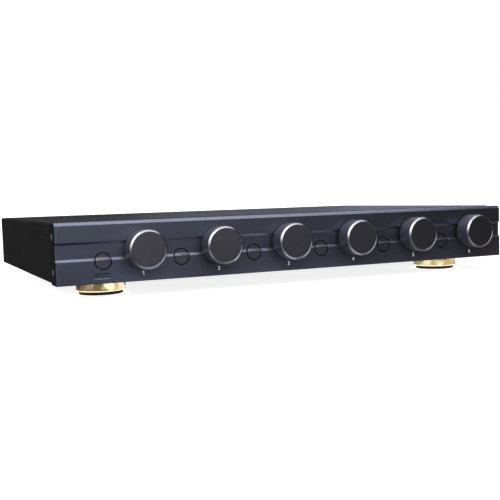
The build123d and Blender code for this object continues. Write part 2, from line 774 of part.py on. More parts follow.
print("overall", case_w, round(overall_d, 2), round(up(cover_top), 2), "face_y", round(face_y, 3))
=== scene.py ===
# %% [markdown]
# # A speaker selector with six volume knobs
#
# The object is a low, wide audio case: a blue-black aluminium front with six
# big volume knobs and six flush buttons, a black steel cover, a rear panel full
# of screw terminals, and four round gold feet. The engineering model is already
# there as a fixed frame. Each of its nodes sits at the origin with its place in
# its mesh, in metres. This lesson gives every node a finish, and replaces the
# nodes that need more shape than an engineering model holds.

# %% Load the frame
import json
import math

import bmesh
import bpy
from mathutils import Matrix, Vector

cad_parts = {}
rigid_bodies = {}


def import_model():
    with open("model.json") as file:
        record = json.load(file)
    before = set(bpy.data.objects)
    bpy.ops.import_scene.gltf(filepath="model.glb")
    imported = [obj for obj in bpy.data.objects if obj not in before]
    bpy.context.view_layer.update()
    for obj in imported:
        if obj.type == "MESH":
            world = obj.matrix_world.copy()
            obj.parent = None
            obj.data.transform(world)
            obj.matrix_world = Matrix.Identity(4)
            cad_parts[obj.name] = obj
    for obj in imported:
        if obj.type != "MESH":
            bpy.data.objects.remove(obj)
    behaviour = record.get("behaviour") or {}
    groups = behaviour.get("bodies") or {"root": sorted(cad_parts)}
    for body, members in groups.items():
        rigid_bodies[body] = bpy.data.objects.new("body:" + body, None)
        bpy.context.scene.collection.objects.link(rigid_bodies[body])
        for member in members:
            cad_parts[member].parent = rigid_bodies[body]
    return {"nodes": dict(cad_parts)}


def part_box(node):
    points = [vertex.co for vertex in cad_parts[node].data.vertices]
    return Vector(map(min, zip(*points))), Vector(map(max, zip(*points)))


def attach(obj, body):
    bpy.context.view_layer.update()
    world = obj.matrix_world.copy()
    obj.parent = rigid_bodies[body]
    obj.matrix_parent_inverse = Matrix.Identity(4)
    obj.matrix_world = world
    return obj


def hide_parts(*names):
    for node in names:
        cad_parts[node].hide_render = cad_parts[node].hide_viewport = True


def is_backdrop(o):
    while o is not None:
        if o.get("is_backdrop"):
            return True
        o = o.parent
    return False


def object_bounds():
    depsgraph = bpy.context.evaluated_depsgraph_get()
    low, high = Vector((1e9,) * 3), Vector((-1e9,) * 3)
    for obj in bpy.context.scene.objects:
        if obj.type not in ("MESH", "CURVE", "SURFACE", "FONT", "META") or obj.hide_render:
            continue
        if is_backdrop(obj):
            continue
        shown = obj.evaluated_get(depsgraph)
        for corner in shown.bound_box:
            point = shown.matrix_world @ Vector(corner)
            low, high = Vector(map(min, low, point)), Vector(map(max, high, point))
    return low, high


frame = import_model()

MM = 0.001
ZONES = range(1, 7)
nodes = frame["nodes"]
cad_low, cad_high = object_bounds()
print("nodes", len(nodes), "size in mm", [round(side / MM, 1) for side in cad_high - cad_low])


def box_mm(node):
    """Lowest and highest corner of a node at rest, in millimetres."""
    low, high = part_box(node)
    return low / MM, high / MM


# %% [markdown]
# ## The camera
#
# The picture is taken from the left, a little above the case, with a normal
# lens. A camera is turned most clearly in steps: it starts out looking straight
# down, is tipped up to the horizon, and is then turned to its heading. The roll
# comes first, about the line of sight.

# %% Camera
EYE = Vector((-336.3, -768.1, 77.8)) * MM
HEADING = math.radians(-24.34)
PITCH = math.radians(-3.83)
ROLL = math.radians(-1.68)
LENS_MM = 58.9
SENSOR_MM = 36

camera = bpy.data.objects.new("camera", bpy.data.cameras.new("camera"))
bpy.context.scene.collection.objects.link(camera)
camera.data.sensor_width = SENSOR_MM
camera.data.lens = LENS_MM
tip_up = Matrix.Rotation(math.radians(90) + PITCH, 4, "X")
camera.matrix_world = (
    Matrix.Translation(EYE)
    @ Matrix.Rotation(HEADING, 4, "Z")
    @ tip_up
    @ Matrix.Rotation(ROLL, 4, "Z")
)
bpy.context.scene.camera = camera
print("camera", [round(place, 3) for place in camera.location])

# %% [markdown]
# ## Node trees
#
# The world and every material are node trees: nodes with sockets, joined by
# links. Four small helpers keep the steps below short. One empties a tree, one
# gives a socket a plain value or a link, one adds a node with its named sockets
# filled in, and one adds a Math node.

# %% Helpers for node trees
def empty_tree(owner):
    """The node tree of a world or a material, with nothing in it."""
    owner.use_nodes = True
    owner.node_tree.nodes.clear()
    return owner.node_tree


def feed(tree, socket, value):
    """Gives a socket a number or a colour, or links it to the output of another node."""
    if isinstance(value, bpy.types.NodeSocket):
        tree.links.new(value, socket)
    else:
        socket.default_value = value


def add_node(tree, kind, values):
    """A node of one kind, with a value or a link for each of its named sockets."""
    node = tree.nodes.new("ShaderNode" + kind)
    for name, value in values.items():
        feed(tree, node.inputs[name], value)
    return node


def calculate(tree, operation, *values):
    """The result of a Math node that takes numbers or the outputs of other nodes."""
    node = tree.nodes.new("ShaderNodeMath")
    node.operation = operation
    for socket, value in zip(node.inputs, values):
        feed(tree, socket, value)
    return node.outputs[0]


# %% [markdown]
# ## The background and the fill light
#
# The world does two jobs. Rays that light things see a soft grey that fills the
# shadows. Camera, mirror and transmission rays see plain white, so the backdrop
# is white and metal shows that white too. Light Path tells the rays apart, and a
# Mix Shader picks between two backgrounds, so the white adds no light.

# %% World
FILL_COLOUR = (0.96, 0.97, 1.0, 1)
FILL_STRENGTH = 0.45
WHITE = (1, 1, 1, 1)


def seen_or_mirrored(tree, mirrored=1.0):
    """A value that is 1 for camera and transmission rays, `mirrored` for mirror rays, else 0."""
    rays = tree.nodes.new("ShaderNodeLightPath").outputs
    seen = calculate(tree, "MAXIMUM", rays["Is Camera Ray"], rays["Is Transmission Ray"])
    return calculate(tree, "MULTIPLY_ADD", rays["Is Glossy Ray"], mirrored, seen)


bpy.context.scene.view_settings.view_transform = "Standard"
world = bpy.data.worlds.new("studio")
bpy.context.scene.world = world
sky = empty_tree(world)
fill = add_node(sky, "Background", {"Color": FILL_COLOUR, "Strength": FILL_STRENGTH})
backdrop = add_node(sky, "Background", {"Color": WHITE, "Strength": 1})
choose = sky.nodes.new("ShaderNodeMixShader")
sky.links.new(seen_or_mirrored(sky), choose.inputs[0])
sky.links.new(fill.outputs[0], choose.inputs[1])
sky.links.new(backdrop.outputs[0], choose.inputs[2])
add_node(sky, "OutputWorld", {"Surface": choose.outputs[0]})
print("world fill", FILL_STRENGTH)

# %% [markdown]
# ## The lamps
#
# A wide sun from above and behind the left shoulder gives the floor and the case
# one even level, so that a colour renders about as it is written. Dark metal is
# drawn by what it mirrors, so soft boxes are hung where the metal looks: one
# overhead for every edge that faces up, one overhead in front for the slope of
# the groove, and one at the left for the knobs' bright rims. Diffuse rays don't
# see them, so they draw highlights and add no light to the paint or the floor.

# %% Lamps
def aim(thing, target):
    """Turns a lamp or a card so that its -Z side faces the target."""
    thing.rotation_euler = (Vector(target) - thing.location).to_track_quat("-Z", "Y").to_euler()


def soft_box(name, place, target, width, height, level):
    """A highlight lamp: a rectangle in metres that mirrors see at a level, where 1 is white."""
    lamp = bpy.data.lights.new(name, "AREA")
    lamp.shape = "RECTANGLE"
    lamp.size = width
    lamp.size_y = height
    lamp.energy = level * math.pi * width * height
    box = bpy.data.objects.new(name, lamp)
    bpy.context.scene.collection.objects.link(box)
    box.location = place
    box.visible_diffuse = False
    aim(box, target)
    print(name, "level", level, "power", round(lamp.energy, 1), "W")


SUN_PLACE = (-1.7, -0.9, 1.9)
SUN_STRENGTH = 2.1
SUN_WIDTH = 50
sun_lamp = bpy.data.lights.new("sun", "SUN")
sun_lamp.energy = SUN_STRENGTH
sun_lamp.angle = math.radians(SUN_WIDTH)
sun = bpy.data.objects.new("sun", sun_lamp)
bpy.context.scene.collection.objects.link(sun)
sun.location = SUN_PLACE
aim(sun, (0, 0, 0))
print("sun strength", SUN_STRENGTH)

FRONT_MIDDLE = (0, -0.14, 0.04)
OVERHEAD = 1.0
soft_box("edge_box", (0.5, 0.0, OVERHEAD), (0.5, 0.0, 0), 1.7, 0.6, 4)
soft_box("groove_box", (-0.07, -0.45, OVERHEAD), (-0.07, -0.45, 0), 1.06, 0.3, 7.5)
soft_box("left_box", (-0.95, -0.75, 0.85), FRONT_MIDDLE, 1.2, 1.45, 6)

# %% [markdown]
# ## Cards
#
# In a studio, cards are set beside shiny metal, to give it something to mirror.
# The cards are seen by mirror rays only: they cast no shadow, and no camera sees
# them. A card with a target stands and faces it. One without a target lies on the
# floor. Where two lie over each other, the higher one is seen, so each group has
# a height of its own.

# %% A card
def clear_selection():
    """Leaves nothing selected, because operators work on all that is."""
    bpy.ops.object.select_all(action="DESELECT")


def card(name, place, target, width, height, colour, turn_degrees=0):
    """A card in metres, with a colour of its own, that only mirrors see."""
    clear_selection()
    bpy.ops.mesh.primitive_plane_add(size=1, location=place)
    board = bpy.context.object
    board.name = name
    board.scale = (width, height, 1)
    if target:
        aim(board, target)
    else:
        board.rotation_euler.z = math.radians(turn_degrees)
    board.visible_camera = False
    board.visible_diffuse = False
    board.visible_transmission = False
    board.visible_shadow = False
    board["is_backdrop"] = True
    paper_colour = bpy.data.materials.new(name)
    tree = empty_tree(paper_colour)
    glow = add_node(tree, "Emission", {"Color": (*colour, 1)})
    add_node(tree, "OutputMaterial", {"Surface": glow.outputs[0]})
    board.data.materials.append(paper_colour)
    print(name, "colour", colour)


# %% [markdown]
# Black and dark cards stand and lie at the sides of the case. They keep it from
# mirroring the white studio and looking grey. Blue ones far behind it tint the
# top of the cover.

# %% Cards round the case
BLACK_CARD = (0.02, 0.02, 0.02)
DARK_CARD = (0.07, 0.07, 0.07)
DIM_BLUE_CARD = (0.01, 0.012, 0.03)
BLUE_CARD = (0.42, 0.43, 0.60)
PALE_BLUE_CARD = (1.0, 1.05, 1.5)
FLOOR_CARD_Z = 0.002
card("card_left", (-0.7, 0.7, 0.47), (-0.2, 0, 0.47), 1.6, 0.94, DARK_CARD)
card("card_left_floor", (-0.605, 0.62, FLOOR_CARD_Z), None, 0.8, 1.4, DARK_CARD)
card("card_back_left", (-0.08, 1.3, 0.45), (-0.1, 0, 0.06), 0.8, 0.9, DIM_BLUE_CARD)
card("card_back", (0.56, 1.25, 0.45), (0, 0, 0.06), 0.52, 0.9, BLUE_CARD)
card("card_back_right", (1.3, 1.0, 0.45), (0.1, 0, 0.06), 1.2, 0.9, PALE_BLUE_CARD)
card("card_left_front", (-0.9, -0.42, FLOOR_CARD_Z), None, 0.9, 0.68, DARK_CARD)
card("card_right", (0.95, -0.8, 0.35), (0.15, -0.14, 0.04), 0.9, 0.9, BLACK_CARD)
card("card_right_floor", (0.77, -0.72, FLOOR_CARD_Z), None, 1.3, 0.98, BLACK_CARD)
card("card_far_floor", (0.9, 0.3, FLOOR_CARD_Z), None, 0.9, 0.9, BLACK_CARD)
card("card_right_side", (0.85, 0.1, 0.4), (0, 0.1, 0.1), 1.0, 0.8, BLACK_CARD)

# %% [markdown]
# The lower part of a knob's bevel mirrors the floor right below it, so a small
# white card lies there for each knob, and a brighter one for the two in the
# middle. Each lies a little left of its knob, so that the bevel fades towards the
# lower right.

# %% Cards under the knobs
PAPER_CARD = (1.7, 1.7, 1.8)
BRIGHT_PAPER_CARD = (2.8, 2.8, 3.0)
BRIGHT_ZONES = (3, 4)
UNDER_KNOB_SHIFT = 0.012
UNDER_KNOB_Y = -0.156
UNDER_KNOB_Z = 0.0005
UNDER_KNOB_WIDTH = 0.04
UNDER_KNOB_DEPTH = 0.03

for zone in ZONES:
    low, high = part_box(f"knob_{zone}")
    under_x = (low.x + high.x) / 2 - UNDER_KNOB_SHIFT
    under_place = (under_x, UNDER_KNOB_Y, UNDER_KNOB_Z)
    under_colour = BRIGHT_PAPER_CARD if zone in BRIGHT_ZONES else PAPER_CARD
    card(f"card_under_{zone}", under_place, None, UNDER_KNOB_WIDTH, UNDER_KNOB_DEPTH, under_colour)

# %% [markdown]
# The panel is lit as if by a window high in front, over a dark floor, so the
# knobs shade it below them. A grey card beside the camera faces the left foot and
# tones down its middle.

# %% Window and front floor
WINDOW_CARD = (11.5, 11.3, 12.2)
GREY_CARD = (0.15, 0.15, 0.15)
FRONT_FLOOR_Z = 0.0015
card("card_front_floor", (-0.2, -0.5, FRONT_FLOOR_Z), None, 0.9, 0.6, BLACK_CARD)
card("card_window", (-0.28, -1.0, 0.6), FRONT_MIDDLE, 1.1, 0.4, WINDOW_CARD)
card("card_camera", (-0.45, -1.1, 0.25), (-0.17, -0.1, 0.01), 0.22, 0.6, GREY_CARD)

# %% [markdown]
# ## Cards round the feet
#
# A polished foot mirrors the floor in front of it, so it shows the floor's tones
# as upright bands. Cards that lie round the foot like petals give it dark, tan
# and cream bands. A small white card right under it lights the bevel of its rim.

# %% Cards round the feet
PETAL_Z = 0.001
RIM_CARD_Z = 0.0008
FAN_END = 0.155
RIM_CARD_WIDTH = 0.05
OLIVE_CARD = (0.2, 0.19, 0.17)
TAN_CARD = (0.40, 0.38, 0.34)
ORANGE_CARD = (0.72, 0.67, 0.55)
CREAM_CARD = (1.15, 1.25, 1.4)
BRIGHT_CARD = (1.55, 1.65, 1.8)
WHITE_CARD = (2.2, 2.15, 2.05)
LEFT_FAN = (
    (174, 0.035, 0.075, OLIVE_CARD),
    (206, 0.035, 0.04, TAN_CARD),
    (245, 0.035, 0.07, OLIVE_CARD),
    (289, 0.05, 0.075, BRIGHT_CARD),
    (322, 0.035, 0.03, ORANGE_CARD),
    (355, 0.035, 0.06, CREAM_CARD),
)
RIGHT_FAN = (
    (140, 0.035, 0.1, TAN_CARD),
    (193, 0.035, 0.06, CREAM_CARD),
    (224, 0.035, 0.03, ORANGE_CARD),
    (262, 0.08, 0.07, CREAM_CARD),
    (308, 0.035, 0.07, ORANGE_CARD),
)


def fan(side, foot_node, petals):
    """Cards on the floor like petals, each with its angle, start, width and colour."""
    low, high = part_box(foot_node)
    middle = (low + high) / 2
    for angle, start, width, colour in petals:
        out = Vector((math.cos(math.radians(angle)), math.sin(math.radians(angle)), 0))
        place = middle + out * (start + FAN_END) / 2
        place.z = PETAL_Z
        card(f"petal_{side}_{angle}", place, None, FAN_END - start, width, colour, angle)
    under = (middle.x, middle.y, RIM_CARD_Z)
    card(f"rim_card_{side}", under, None, RIM_CARD_WIDTH, RIM_CARD_WIDTH, WHITE_CARD)


fan("left", "foot_shell_front_left", LEFT_FAN)
fan("right", "foot_shell_front_right", RIGHT_FAN)

# %% [markdown]
# ## The floor
#
# A big plain plane that stays at the foot of the object. Its colour is pale, and
# a little of its own white is added for the rays that see it, so that the lit
# floor meets the white backdrop without a line and a shadow on it still shows.

# %% Floor
FLOOR_COLOUR = (0.86, 0.86, 0.86, 1)
FLOOR_SIZE = 60
FLOOR_LIFT = 0.85
MIRRORED_LIFT = 0.15

clear_selection()
bpy.ops.mesh.primitive_plane_add(size=FLOOR_SIZE, location=(0, 0, 0))
floor = bpy.context.object
floor.name = "floor"
floor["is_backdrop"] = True
floor_paper = bpy.data.materials.new("floor_paper")
paper = empty_tree(floor_paper)
matte = add_node(paper, "BsdfDiffuse", {"Color": FLOOR_COLOUR})
seen = seen_or_mirrored(paper, MIRRORED_LIFT / FLOOR_LIFT)
lift = add_node(paper, "Emission", {"Strength": calculate(paper, "MULTIPLY", seen, FLOOR_LIFT)})
both = paper.nodes.new("ShaderNodeAddShader")
paper.links.new(matte.outputs[0], both.inputs[0])
paper.links.new(lift.outputs[0], both.inputs[1])
add_node(paper, "OutputMaterial", {"Surface": both.outputs[0]})
floor.data.materials.append(floor_paper)
print("floor laid")

# %% [markdown]
# ## Finishes
#
# Every finish starts from the same Principled shader. What makes it read as a
# real surface is a little unevenness: the colour drifts, the gloss drifts, and a
# fine grain tilts the surface. The grain is a noise texture, stretched along the
# way the metal was drawn, ground or turned.

# %% A finish to start from
def start_finish(name, colour, metallic, roughness, specular=0.5):
    """A material with one Principled shader. Returns the material, its tree and the shader."""
    finish = bpy.data.materials.new(name)
    finish.use_nodes = True
    tree = finish.node_tree
    shader = tree.nodes["Principled BSDF"]
    shader.inputs["Base Color"].default_value = (*colour, 1)
    shader.inputs["Metallic"].default_value = metallic
    shader.inputs["Roughness"].default_value = roughness
    shader.inputs["Specular IOR Level"].default_value = specular
    print("finish", name)
    return finish, tree, shader


def noise_at(tree, place, scale, detail=4):
    """Noise that is read at a place, with so many spots per metre."""
    noise = add_node(tree, "TexNoise", {"Vector": place, "Scale": scale, "Detail": detail})
    return noise.outputs["Fac"]


def stretched_noise(tree, scale, stretch=(1, 1, 1)):
    """Noise on Object coordinates, with so many spots per metre along each stretched axis."""
    place = tree.nodes.new("ShaderNodeTexCoord").outputs["Object"]
    mapping = add_node(tree, "Mapping", {"Vector": place, "Scale": stretch})
    return noise_at(tree, mapping.outputs["Vector"], scale)


# %% [markdown]
# Three helpers hang a pattern on that shader: a ramp turns it into a drift of the
# colour, a range into a drift of the gloss, and a bump into a fine relief. Noise
# keeps mostly near its middle value, so the drifts go from end to end within the
# span that it really covers. A fourth helper puts a finish on nodes of the
# engineering model.

# %% Drift and grain
COLOUR_SPAN = (0.35, 0.65)
GLOSS_SPAN = (0.3, 0.7)


def vary_colour(tree, shader, pattern, dark, light):
    """Lets the base colour drift between two colours with the pattern."""
    ramp = add_node(tree, "ValToRGB", {"Fac": pattern})
    for stop, position, colour in zip(ramp.color_ramp.elements, COLOUR_SPAN, (dark, light)):
        stop.position = position
        stop.color = (*colour, 1)
    tree.links.new(ramp.outputs["Color"], shader.inputs["Base Color"])
    return ramp.outputs["Color"]


def vary_roughness(tree, shader, pattern, smooth, rough):
    """Lets the roughness drift between two values with the pattern."""
    low, high = GLOSS_SPAN
    ends = {"From Min": low, "From Max": high, "To Min": smooth, "To Max": rough}
    spread = add_node(tree, "MapRange", {"Value": pattern, **ends})
    tree.links.new(spread.outputs["Result"], shader.inputs["Roughness"])


def raise_grain(tree, shader, pattern, height_mm, strength):
    """Turns the pattern into a fine relief of that height."""
    relief = {"Height": pattern, "Distance": height_mm * MM, "Strength": strength}
    tree.links.new(add_node(tree, "Bump", relief).outputs["Normal"], shader.inputs["Normal"])


def dress(names, finish):
    """Puts a finish on every material slot of the named nodes."""
    for name in names:
        for slot in nodes[name].material_slots:
            slot.material = finish
    print(finish.name, "on", len(names), "nodes")


# %% [markdown]
# Where a finish changes from place to place, it reads the Object coordinates of
# the point that is being coloured, and a Mix node goes from one colour to the
# other.

# %% Place and mix
def object_place(tree):
    """The outputs X, Y and Z that say where a point is, in metres."""
    place = tree.nodes.new("ShaderNodeTexCoord").outputs["Object"]
    return add_node(tree, "SeparateXYZ", {"Vector": place}).outputs


def mix_colours(tree, shader, share, first, second, blend="MIX"):
    """Lets the base colour go from the first colour to the second as the share grows."""
    mix = tree.nodes.new("ShaderNodeMix")
    mix.data_type = "RGBA"
    mix.blend_type = blend
    for name, value in (("Factor", share), ("A", first), ("B", second)):
        feed(tree, mix.inputs[name], value)
    tree.links.new(mix.outputs["Result"], shader.inputs["Base Color"])


# %% [markdown]
# ## Anodised aluminium
#
# The front is an aluminium extrusion, etched to a satin and anodised blue-black.
# The dye sits in a clear oxide skin over bright metal, so it still mirrors like
# a metal, only darkly. A metallic shader with a dark base does that. The fine
# lines that the drawing die leaves run along the panel, so the grain is noise
# stretched far along X.

# %% Anodised front
# Painted shade: the anodised colour is multiplied down, a little darker and warmer, from the left
# end to the right end.
PAINTED_SHADE_DRIFT = (1.0, 0.885, 0.865, 1)


def anodised(name, dark, light, roughness):
    """Satin dark aluminium, drawn along X, with painted shade that makes it a little darker and
    warmer from left to right.
    """
    finish, tree, shader = start_finish(name, light, 0.95, roughness)
    dye = vary_colour(tree, shader, stretched_noise(tree, 30), dark, light)
    ends = {"From Min": cad_low.x, "From Max": cad_high.x}
    along = add_node(tree, "MapRange", {"Value": object_place(tree)["X"], **ends})
    mix_colours(tree, shader, along.outputs["Result"], dye, PAINTED_SHADE_DRIFT, "MULTIPLY")
    drawn = stretched_noise(tree, 2500, (0.04, 1, 1))
    vary_roughness(tree, shader, drawn, roughness - 0.03, roughness + 0.04)
    raise_grain(tree, shader, drawn, 0.02, 0.25)
    return finish


panel_finish = anodised("anodised_panel", (0.052, 0.057, 0.078), (0.057, 0.062, 0.085), 0.38)
dress(["front_panel"], panel_finish)

# %% [markdown]
# ## Black satin paint
#
# The cover, the tray and the rear panel are folded steel with a baked black
# paint. Paint isn't a metal: its colour is nearly black, and its skin mirrors a
# little, more at a glancing angle. The oven leaves a fine orange peel, which is
# a low bump on a small round noise.

# %% Case paint
PAINT_DARK = (0.0042, 0.0042, 0.0048)
PAINT_LIGHT = (0.0066, 0.0066, 0.0074)


def satin_paint(name, dark, light, roughness, specular):
    """Black satin paint with a fine orange peel."""
    finish, tree, shader = start_finish(name, light, 0.0, roughness, specular)
    vary_colour(tree, shader, stretched_noise(tree, 25), dark, light)
    vary_roughness(tree, shader, stretched_noise(tree, 300), roughness - 0.015, roughness + 0.015)
    raise_grain(tree, shader, stretched_noise(tree, 1400), 0.03, 0.3)
    return finish


case_finish = satin_paint("case_paint", PAINT_DARK, PAINT_LIGHT, 0.5, 0.13)
dress(["top_cover", "bottom_tray", "rear_panel"], case_finish)

# %% [markdown]
# ## The end caps
#
# A thin plate closes each end of the extrusion. Its front edge carries on the
# panel's finish, and its outer face is painted with the cover. One node holds
# both, so a mask chooses between two colours: it is 1 where the Object
# coordinate X lies in the outer skin of the plate.

# %% End caps
CAP_SKIN = 0.6
CAP_METAL = (0.053, 0.060, 0.082)


def painted_outside(name, outer_x_mm):
    """Anodised metal whose outermost skin, past a distance from the middle, is painted black."""
    finish, tree, shader = start_finish(name, PAINT_LIGHT, 0.0, 0.45, 0.08)
    from_middle = calculate(tree, "ABSOLUTE", object_place(tree)["X"])
    outside = calculate(tree, "GREATER_THAN", from_middle, outer_x_mm * MM)
    mix_colours(tree, shader, outside, (*CAP_METAL, 1), (*PAINT_DARK, 1))
    tree.links.new(calculate(tree, "SUBTRACT", 1, outside), shader.inputs["Metallic"])
    grain = stretched_noise(tree, 1400)
    vary_roughness(tree, shader, grain, 0.4, 0.5)
    raise_grain(tree, shader, grain, 0.02, 0.2)
    return finish


end_finish = painted_outside("end_cap_finish", cad_high.x / MM - CAP_SKIN)
dress(["end_cap_left", "end_cap_right"], end_finish)

# %% [markdown]
# ## Modelling by hand, in code
#
# The next pieces are modelled as by hand: a primitive is added at its size and
# place, and edit mode shapes it. In a script the mouse is replaced by a test. Two
# helpers select the faces or the edges that pass it, by where they are and where
# they point, all in millimetres. Two more write the tests that come up most:
# faces that point straight one way, and edges that lie at one level.

# %% Places and selections
SAME_WITHIN = 0.01
STRAIGHT = 0.99
AXIS_Y, AXIS_Z = 1, 2
FRONT = Vector((0, -1, 0))
BACK = Vector((0, 1, 0))
UP = Vector((0, 0, 1))
DOWN = Vector((0, 0, -1))


def mm(x, y, z):
    """A place or a step in millimetres, as a vector in metres."""
    return Vector((x, y, z)) * MM


def near(a, b):
    """Whether two lengths in millimetres are the same."""
    return abs(a - b) < SAME_WITHIN


def facing(direction):
    """A test for faces that point straight along a direction."""
    return lambda at, way: way.dot(direction) > STRAIGHT


def at_level(axis, level):
    """A test for edges whose two ends lie at one level along an axis."""
    return lambda a, b: near(a[axis], level) and near(b[axis], level)


def pick_faces(piece, wanted):
    """In edit mode, selects only the faces whose centre in mm and normal are wanted."""
    bpy.ops.mesh.select_mode(type="FACE")
    bpy.ops.mesh.select_all(action="DESELECT")
    mesh = bmesh.from_edit_mesh(piece.data)
    for face in mesh.faces:
        if wanted(face.calc_center_median() / MM, face.normal):
            face.select_set(True)
    bmesh.update_edit_mesh(piece.data)


def pick_edges(piece, wanted):
    """In edit mode, selects only the edges whose two ends in mm are wanted."""
    bpy.ops.mesh.select_mode(type="EDGE")
    bpy.ops.mesh.select_all(action="DESELECT")
    mesh = bmesh.from_edit_mesh(piece.data)
    for edge in mesh.edges:
        if wanted(edge.verts[0].co / MM, edge.verts[1].co / MM):
            edge.select_set(True)
    bmesh.update_edit_mesh(piece.data)


# %% [markdown]
# Three steps of edit mode shape what is selected. They take millimetres, so that
# a step reads like a line on a workshop drawing.

# %% Edit-mode steps
def bevel(width_mm, segments=1):
    """Bevels the selected edges."""
    bpy.ops.mesh.bevel(offset=width_mm * MM, segments=segments, affect="EDGES")


def inset(width_mm, depth_mm=0):
    """Insets the selected faces, and sinks the new face if a negative depth is given."""
    bpy.ops.mesh.inset(thickness=width_mm * MM, depth=depth_mm * MM)


def extrude(x, y, z):
    """Extrudes the selected faces by a step in millimetres."""
    bpy.ops.mesh.extrude_region_move(TRANSFORM_OT_translate={"value": mm(x, y, z)})


# %% [markdown]
# A finished piece has its place in its mesh, as a CAD node does, and its object
# stays at the origin. Only the small steps of a round wall are shaded smooth. A
# narrow bevel stays crisp, or it would bend the shading of the wide face beside
# it. Then the piece is told which body it moves with and which node it shows.

# %% Settle and finish a piece
SMOOTH_BELOW = 12


def settle(name):
    """Names the new primitive and moves its turn and place into its mesh."""
    piece = bpy.context.object
    piece.name = name
    piece.data.name = name
    bpy.ops.object.transform_apply(location=True, rotation=True, scale=True)
    return piece


def finish_piece(piece, smooth_degrees=SMOOTH_BELOW):
    """Leaves edit mode, smooths the angles below a limit and prints the piece's size."""
    bpy.ops.object.mode_set(mode="OBJECT")
    bpy.ops.object.shade_smooth_by_angle(angle=math.radians(smooth_degrees))
    print(piece.name, "faces", len(piece.data.polygons))


def stand_for(piece, node, body):
    """The piece shows a CAD node from now on, and moves with its body."""
    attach(piece, body)
    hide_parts(node)


# %% [markdown]
# What repeats is modelled once and copied, each copy with its own mesh. A mesh
# that comes from a text or from the engineering model has doubled corners, so
# they are merged before it is worked on. Pieces that are one thing are joined.

# %% Copy, merge and join
MERGE_WITHIN = 0.001


def copy_piece(piece, name, step):
    """A copy with its own mesh, moved by a step in millimetres that goes into its mesh."""
    clear_selection()
    piece.select_set(True)
    bpy.context.view_layer.objects.active = piece
    bpy.ops.object.duplicate()
    bpy.ops.transform.translate(value=mm(*step))
    return settle(name)


def merge_skin():
    """Opens edit mode and merges corners that lie on each other, so the skin is closed."""
    bpy.ops.object.mode_set(mode="EDIT")
    bpy.ops.mesh.select_all(action="SELECT")
    bpy.ops.mesh.remove_doubles(threshold=MERGE_WITHIN * MM)


def join_pieces(pieces, name):
    """Joins pieces into the first one."""
    clear_selection()
    for piece in pieces:
        piece.select_set(True)
    bpy.context.view_layer.objects.active = pieces[0]
    bpy.ops.object.join()
    pieces[0].name = name
    pieces[0].data.name = name
    print(name, "faces", len(pieces[0].data.polygons))
    return pieces[0]


# %% [markdown]
# ## The label well
#
# A small blank plate for a zone name is let into the panel below the first
# button. On the real one the metal slopes down to it all round, and those slopes
# are what the eye sees: the upper one is dark and the lower one is light. So the
# plate is made as a shallow tray: a block up to the panel's face, whose front is
# inset and sunk in one step.

# %% Label well
LABEL_SLOPE = 0.6

panel_face_y = box_mm("front_panel")[0].y
label_low, label_high = box_mm("label_plate")
label_sink = label_low.y - panel_face_y
label_low.y = panel_face_y
clear_selection()
bpy.ops.mesh.primitive_cube_add(size=1, location=(label_low + label_high) / 2 * MM)
bpy.context.object.scale = (label_high - label_low) * MM
label = settle("label_well")
bpy.ops.object.mode_set(mode="EDIT")
pick_faces(label, facing(FRONT))
inset(LABEL_SLOPE, -label_sink)
label.data.materials.append(
    anodised("anodised_label", (0.049, 0.058, 0.084), (0.052, 0.062, 0.090), 0.33)
)
finish_piece(label)
stand_for(label, "label_plate", "case")
print("label plate sunk", round(label_sink, 2))

# %% [markdown]
# ## Volume knobs
#
# Each knob is turned from aluminium bar: a smooth skirt, a flat face with a
# shallow dish, and a bright bevel between them, cut after the black anodising so
# that it shows bare metal. Behind, it is hollow, with a hub that grips the shaft.
# A lathe part could be a spun profile. Here it starts as a cylinder, because
# bevels, insets and extrusions on its two ends give the same shape, and each
# step can be seen. Every edge gets a hair of a bevel, so that it catches light.

# %% Knob shape
KNOB_BEVEL = 1.4
KNOB_DISH = 0.35
KNOB_SKIRT_WALL = 2.6
KNOB_FACE_THICK = 3.4
HUB_RADIUS = 6.0
HUB_SHORT = 1.0
BORE_RADIUS = 3.05
BORE_SPARE = 0.3
EDGE = 0.1
SKIRT_EDGE = 0.3
ROUND_STEPS = 128
LYING = 90


def start_disc(name, radius, length, middle, tip_degrees=0, steps=ROUND_STEPS):
    """A cylinder in millimetres, open in edit mode, that stands or is tipped over about X."""
    clear_selection()
    bpy.ops.mesh.primitive_cylinder_add(
        vertices=steps,
        radius=radius * MM,
        depth=length * MM,
        location=middle * MM,
        rotation=(math.radians(tip_degrees), 0, 0),
    )
    disc = settle(name)
    bpy.ops.object.mode_set(mode="EDIT")
    print(name, round(radius * 2, 2), "mm across")
    return disc


knob_low, knob_high = box_mm("knob_1")
knob_mid = (knob_low + knob_high) / 2
knob_radius = (knob_high.x - knob_low.x) / 2
knob_length = knob_high.y - knob_low.y
bore_end = box_mm("shaft_1")[0].y - BORE_SPARE
knob = start_disc("turned_knob_1", knob_radius, knob_length, knob_mid, LYING)

# %% [markdown]
# The front edge is bevelled once for the bright rim, and the rim's own two edges
# once more by a hair. The flat face is then inset and sunk into a shallow dish.

# %% Knob front: bright bevel and dish
pick_edges(knob, at_level(AXIS_Y, knob_low.y))
bevel(KNOB_BEVEL)
pick_edges(knob, lambda a, b: near(a.y, b.y) and a.y < knob_low.y + KNOB_BEVEL + EDGE)
bevel(EDGE)
pick_faces(knob, facing(FRONT))
inset(KNOB_DISH, -KNOB_DISH)
inset(EDGE)
print("knob face", round(knob_low.y, 2), "bevel", KNOB_BEVEL)

# %% [markdown]
# At the back, insets draw rings on the end face, and extrusions push them in or
# out: the wide ring goes deep and leaves the skirt as a wall, the next one comes
# back as the hub, and the middle is pushed in as the bore for the shaft.

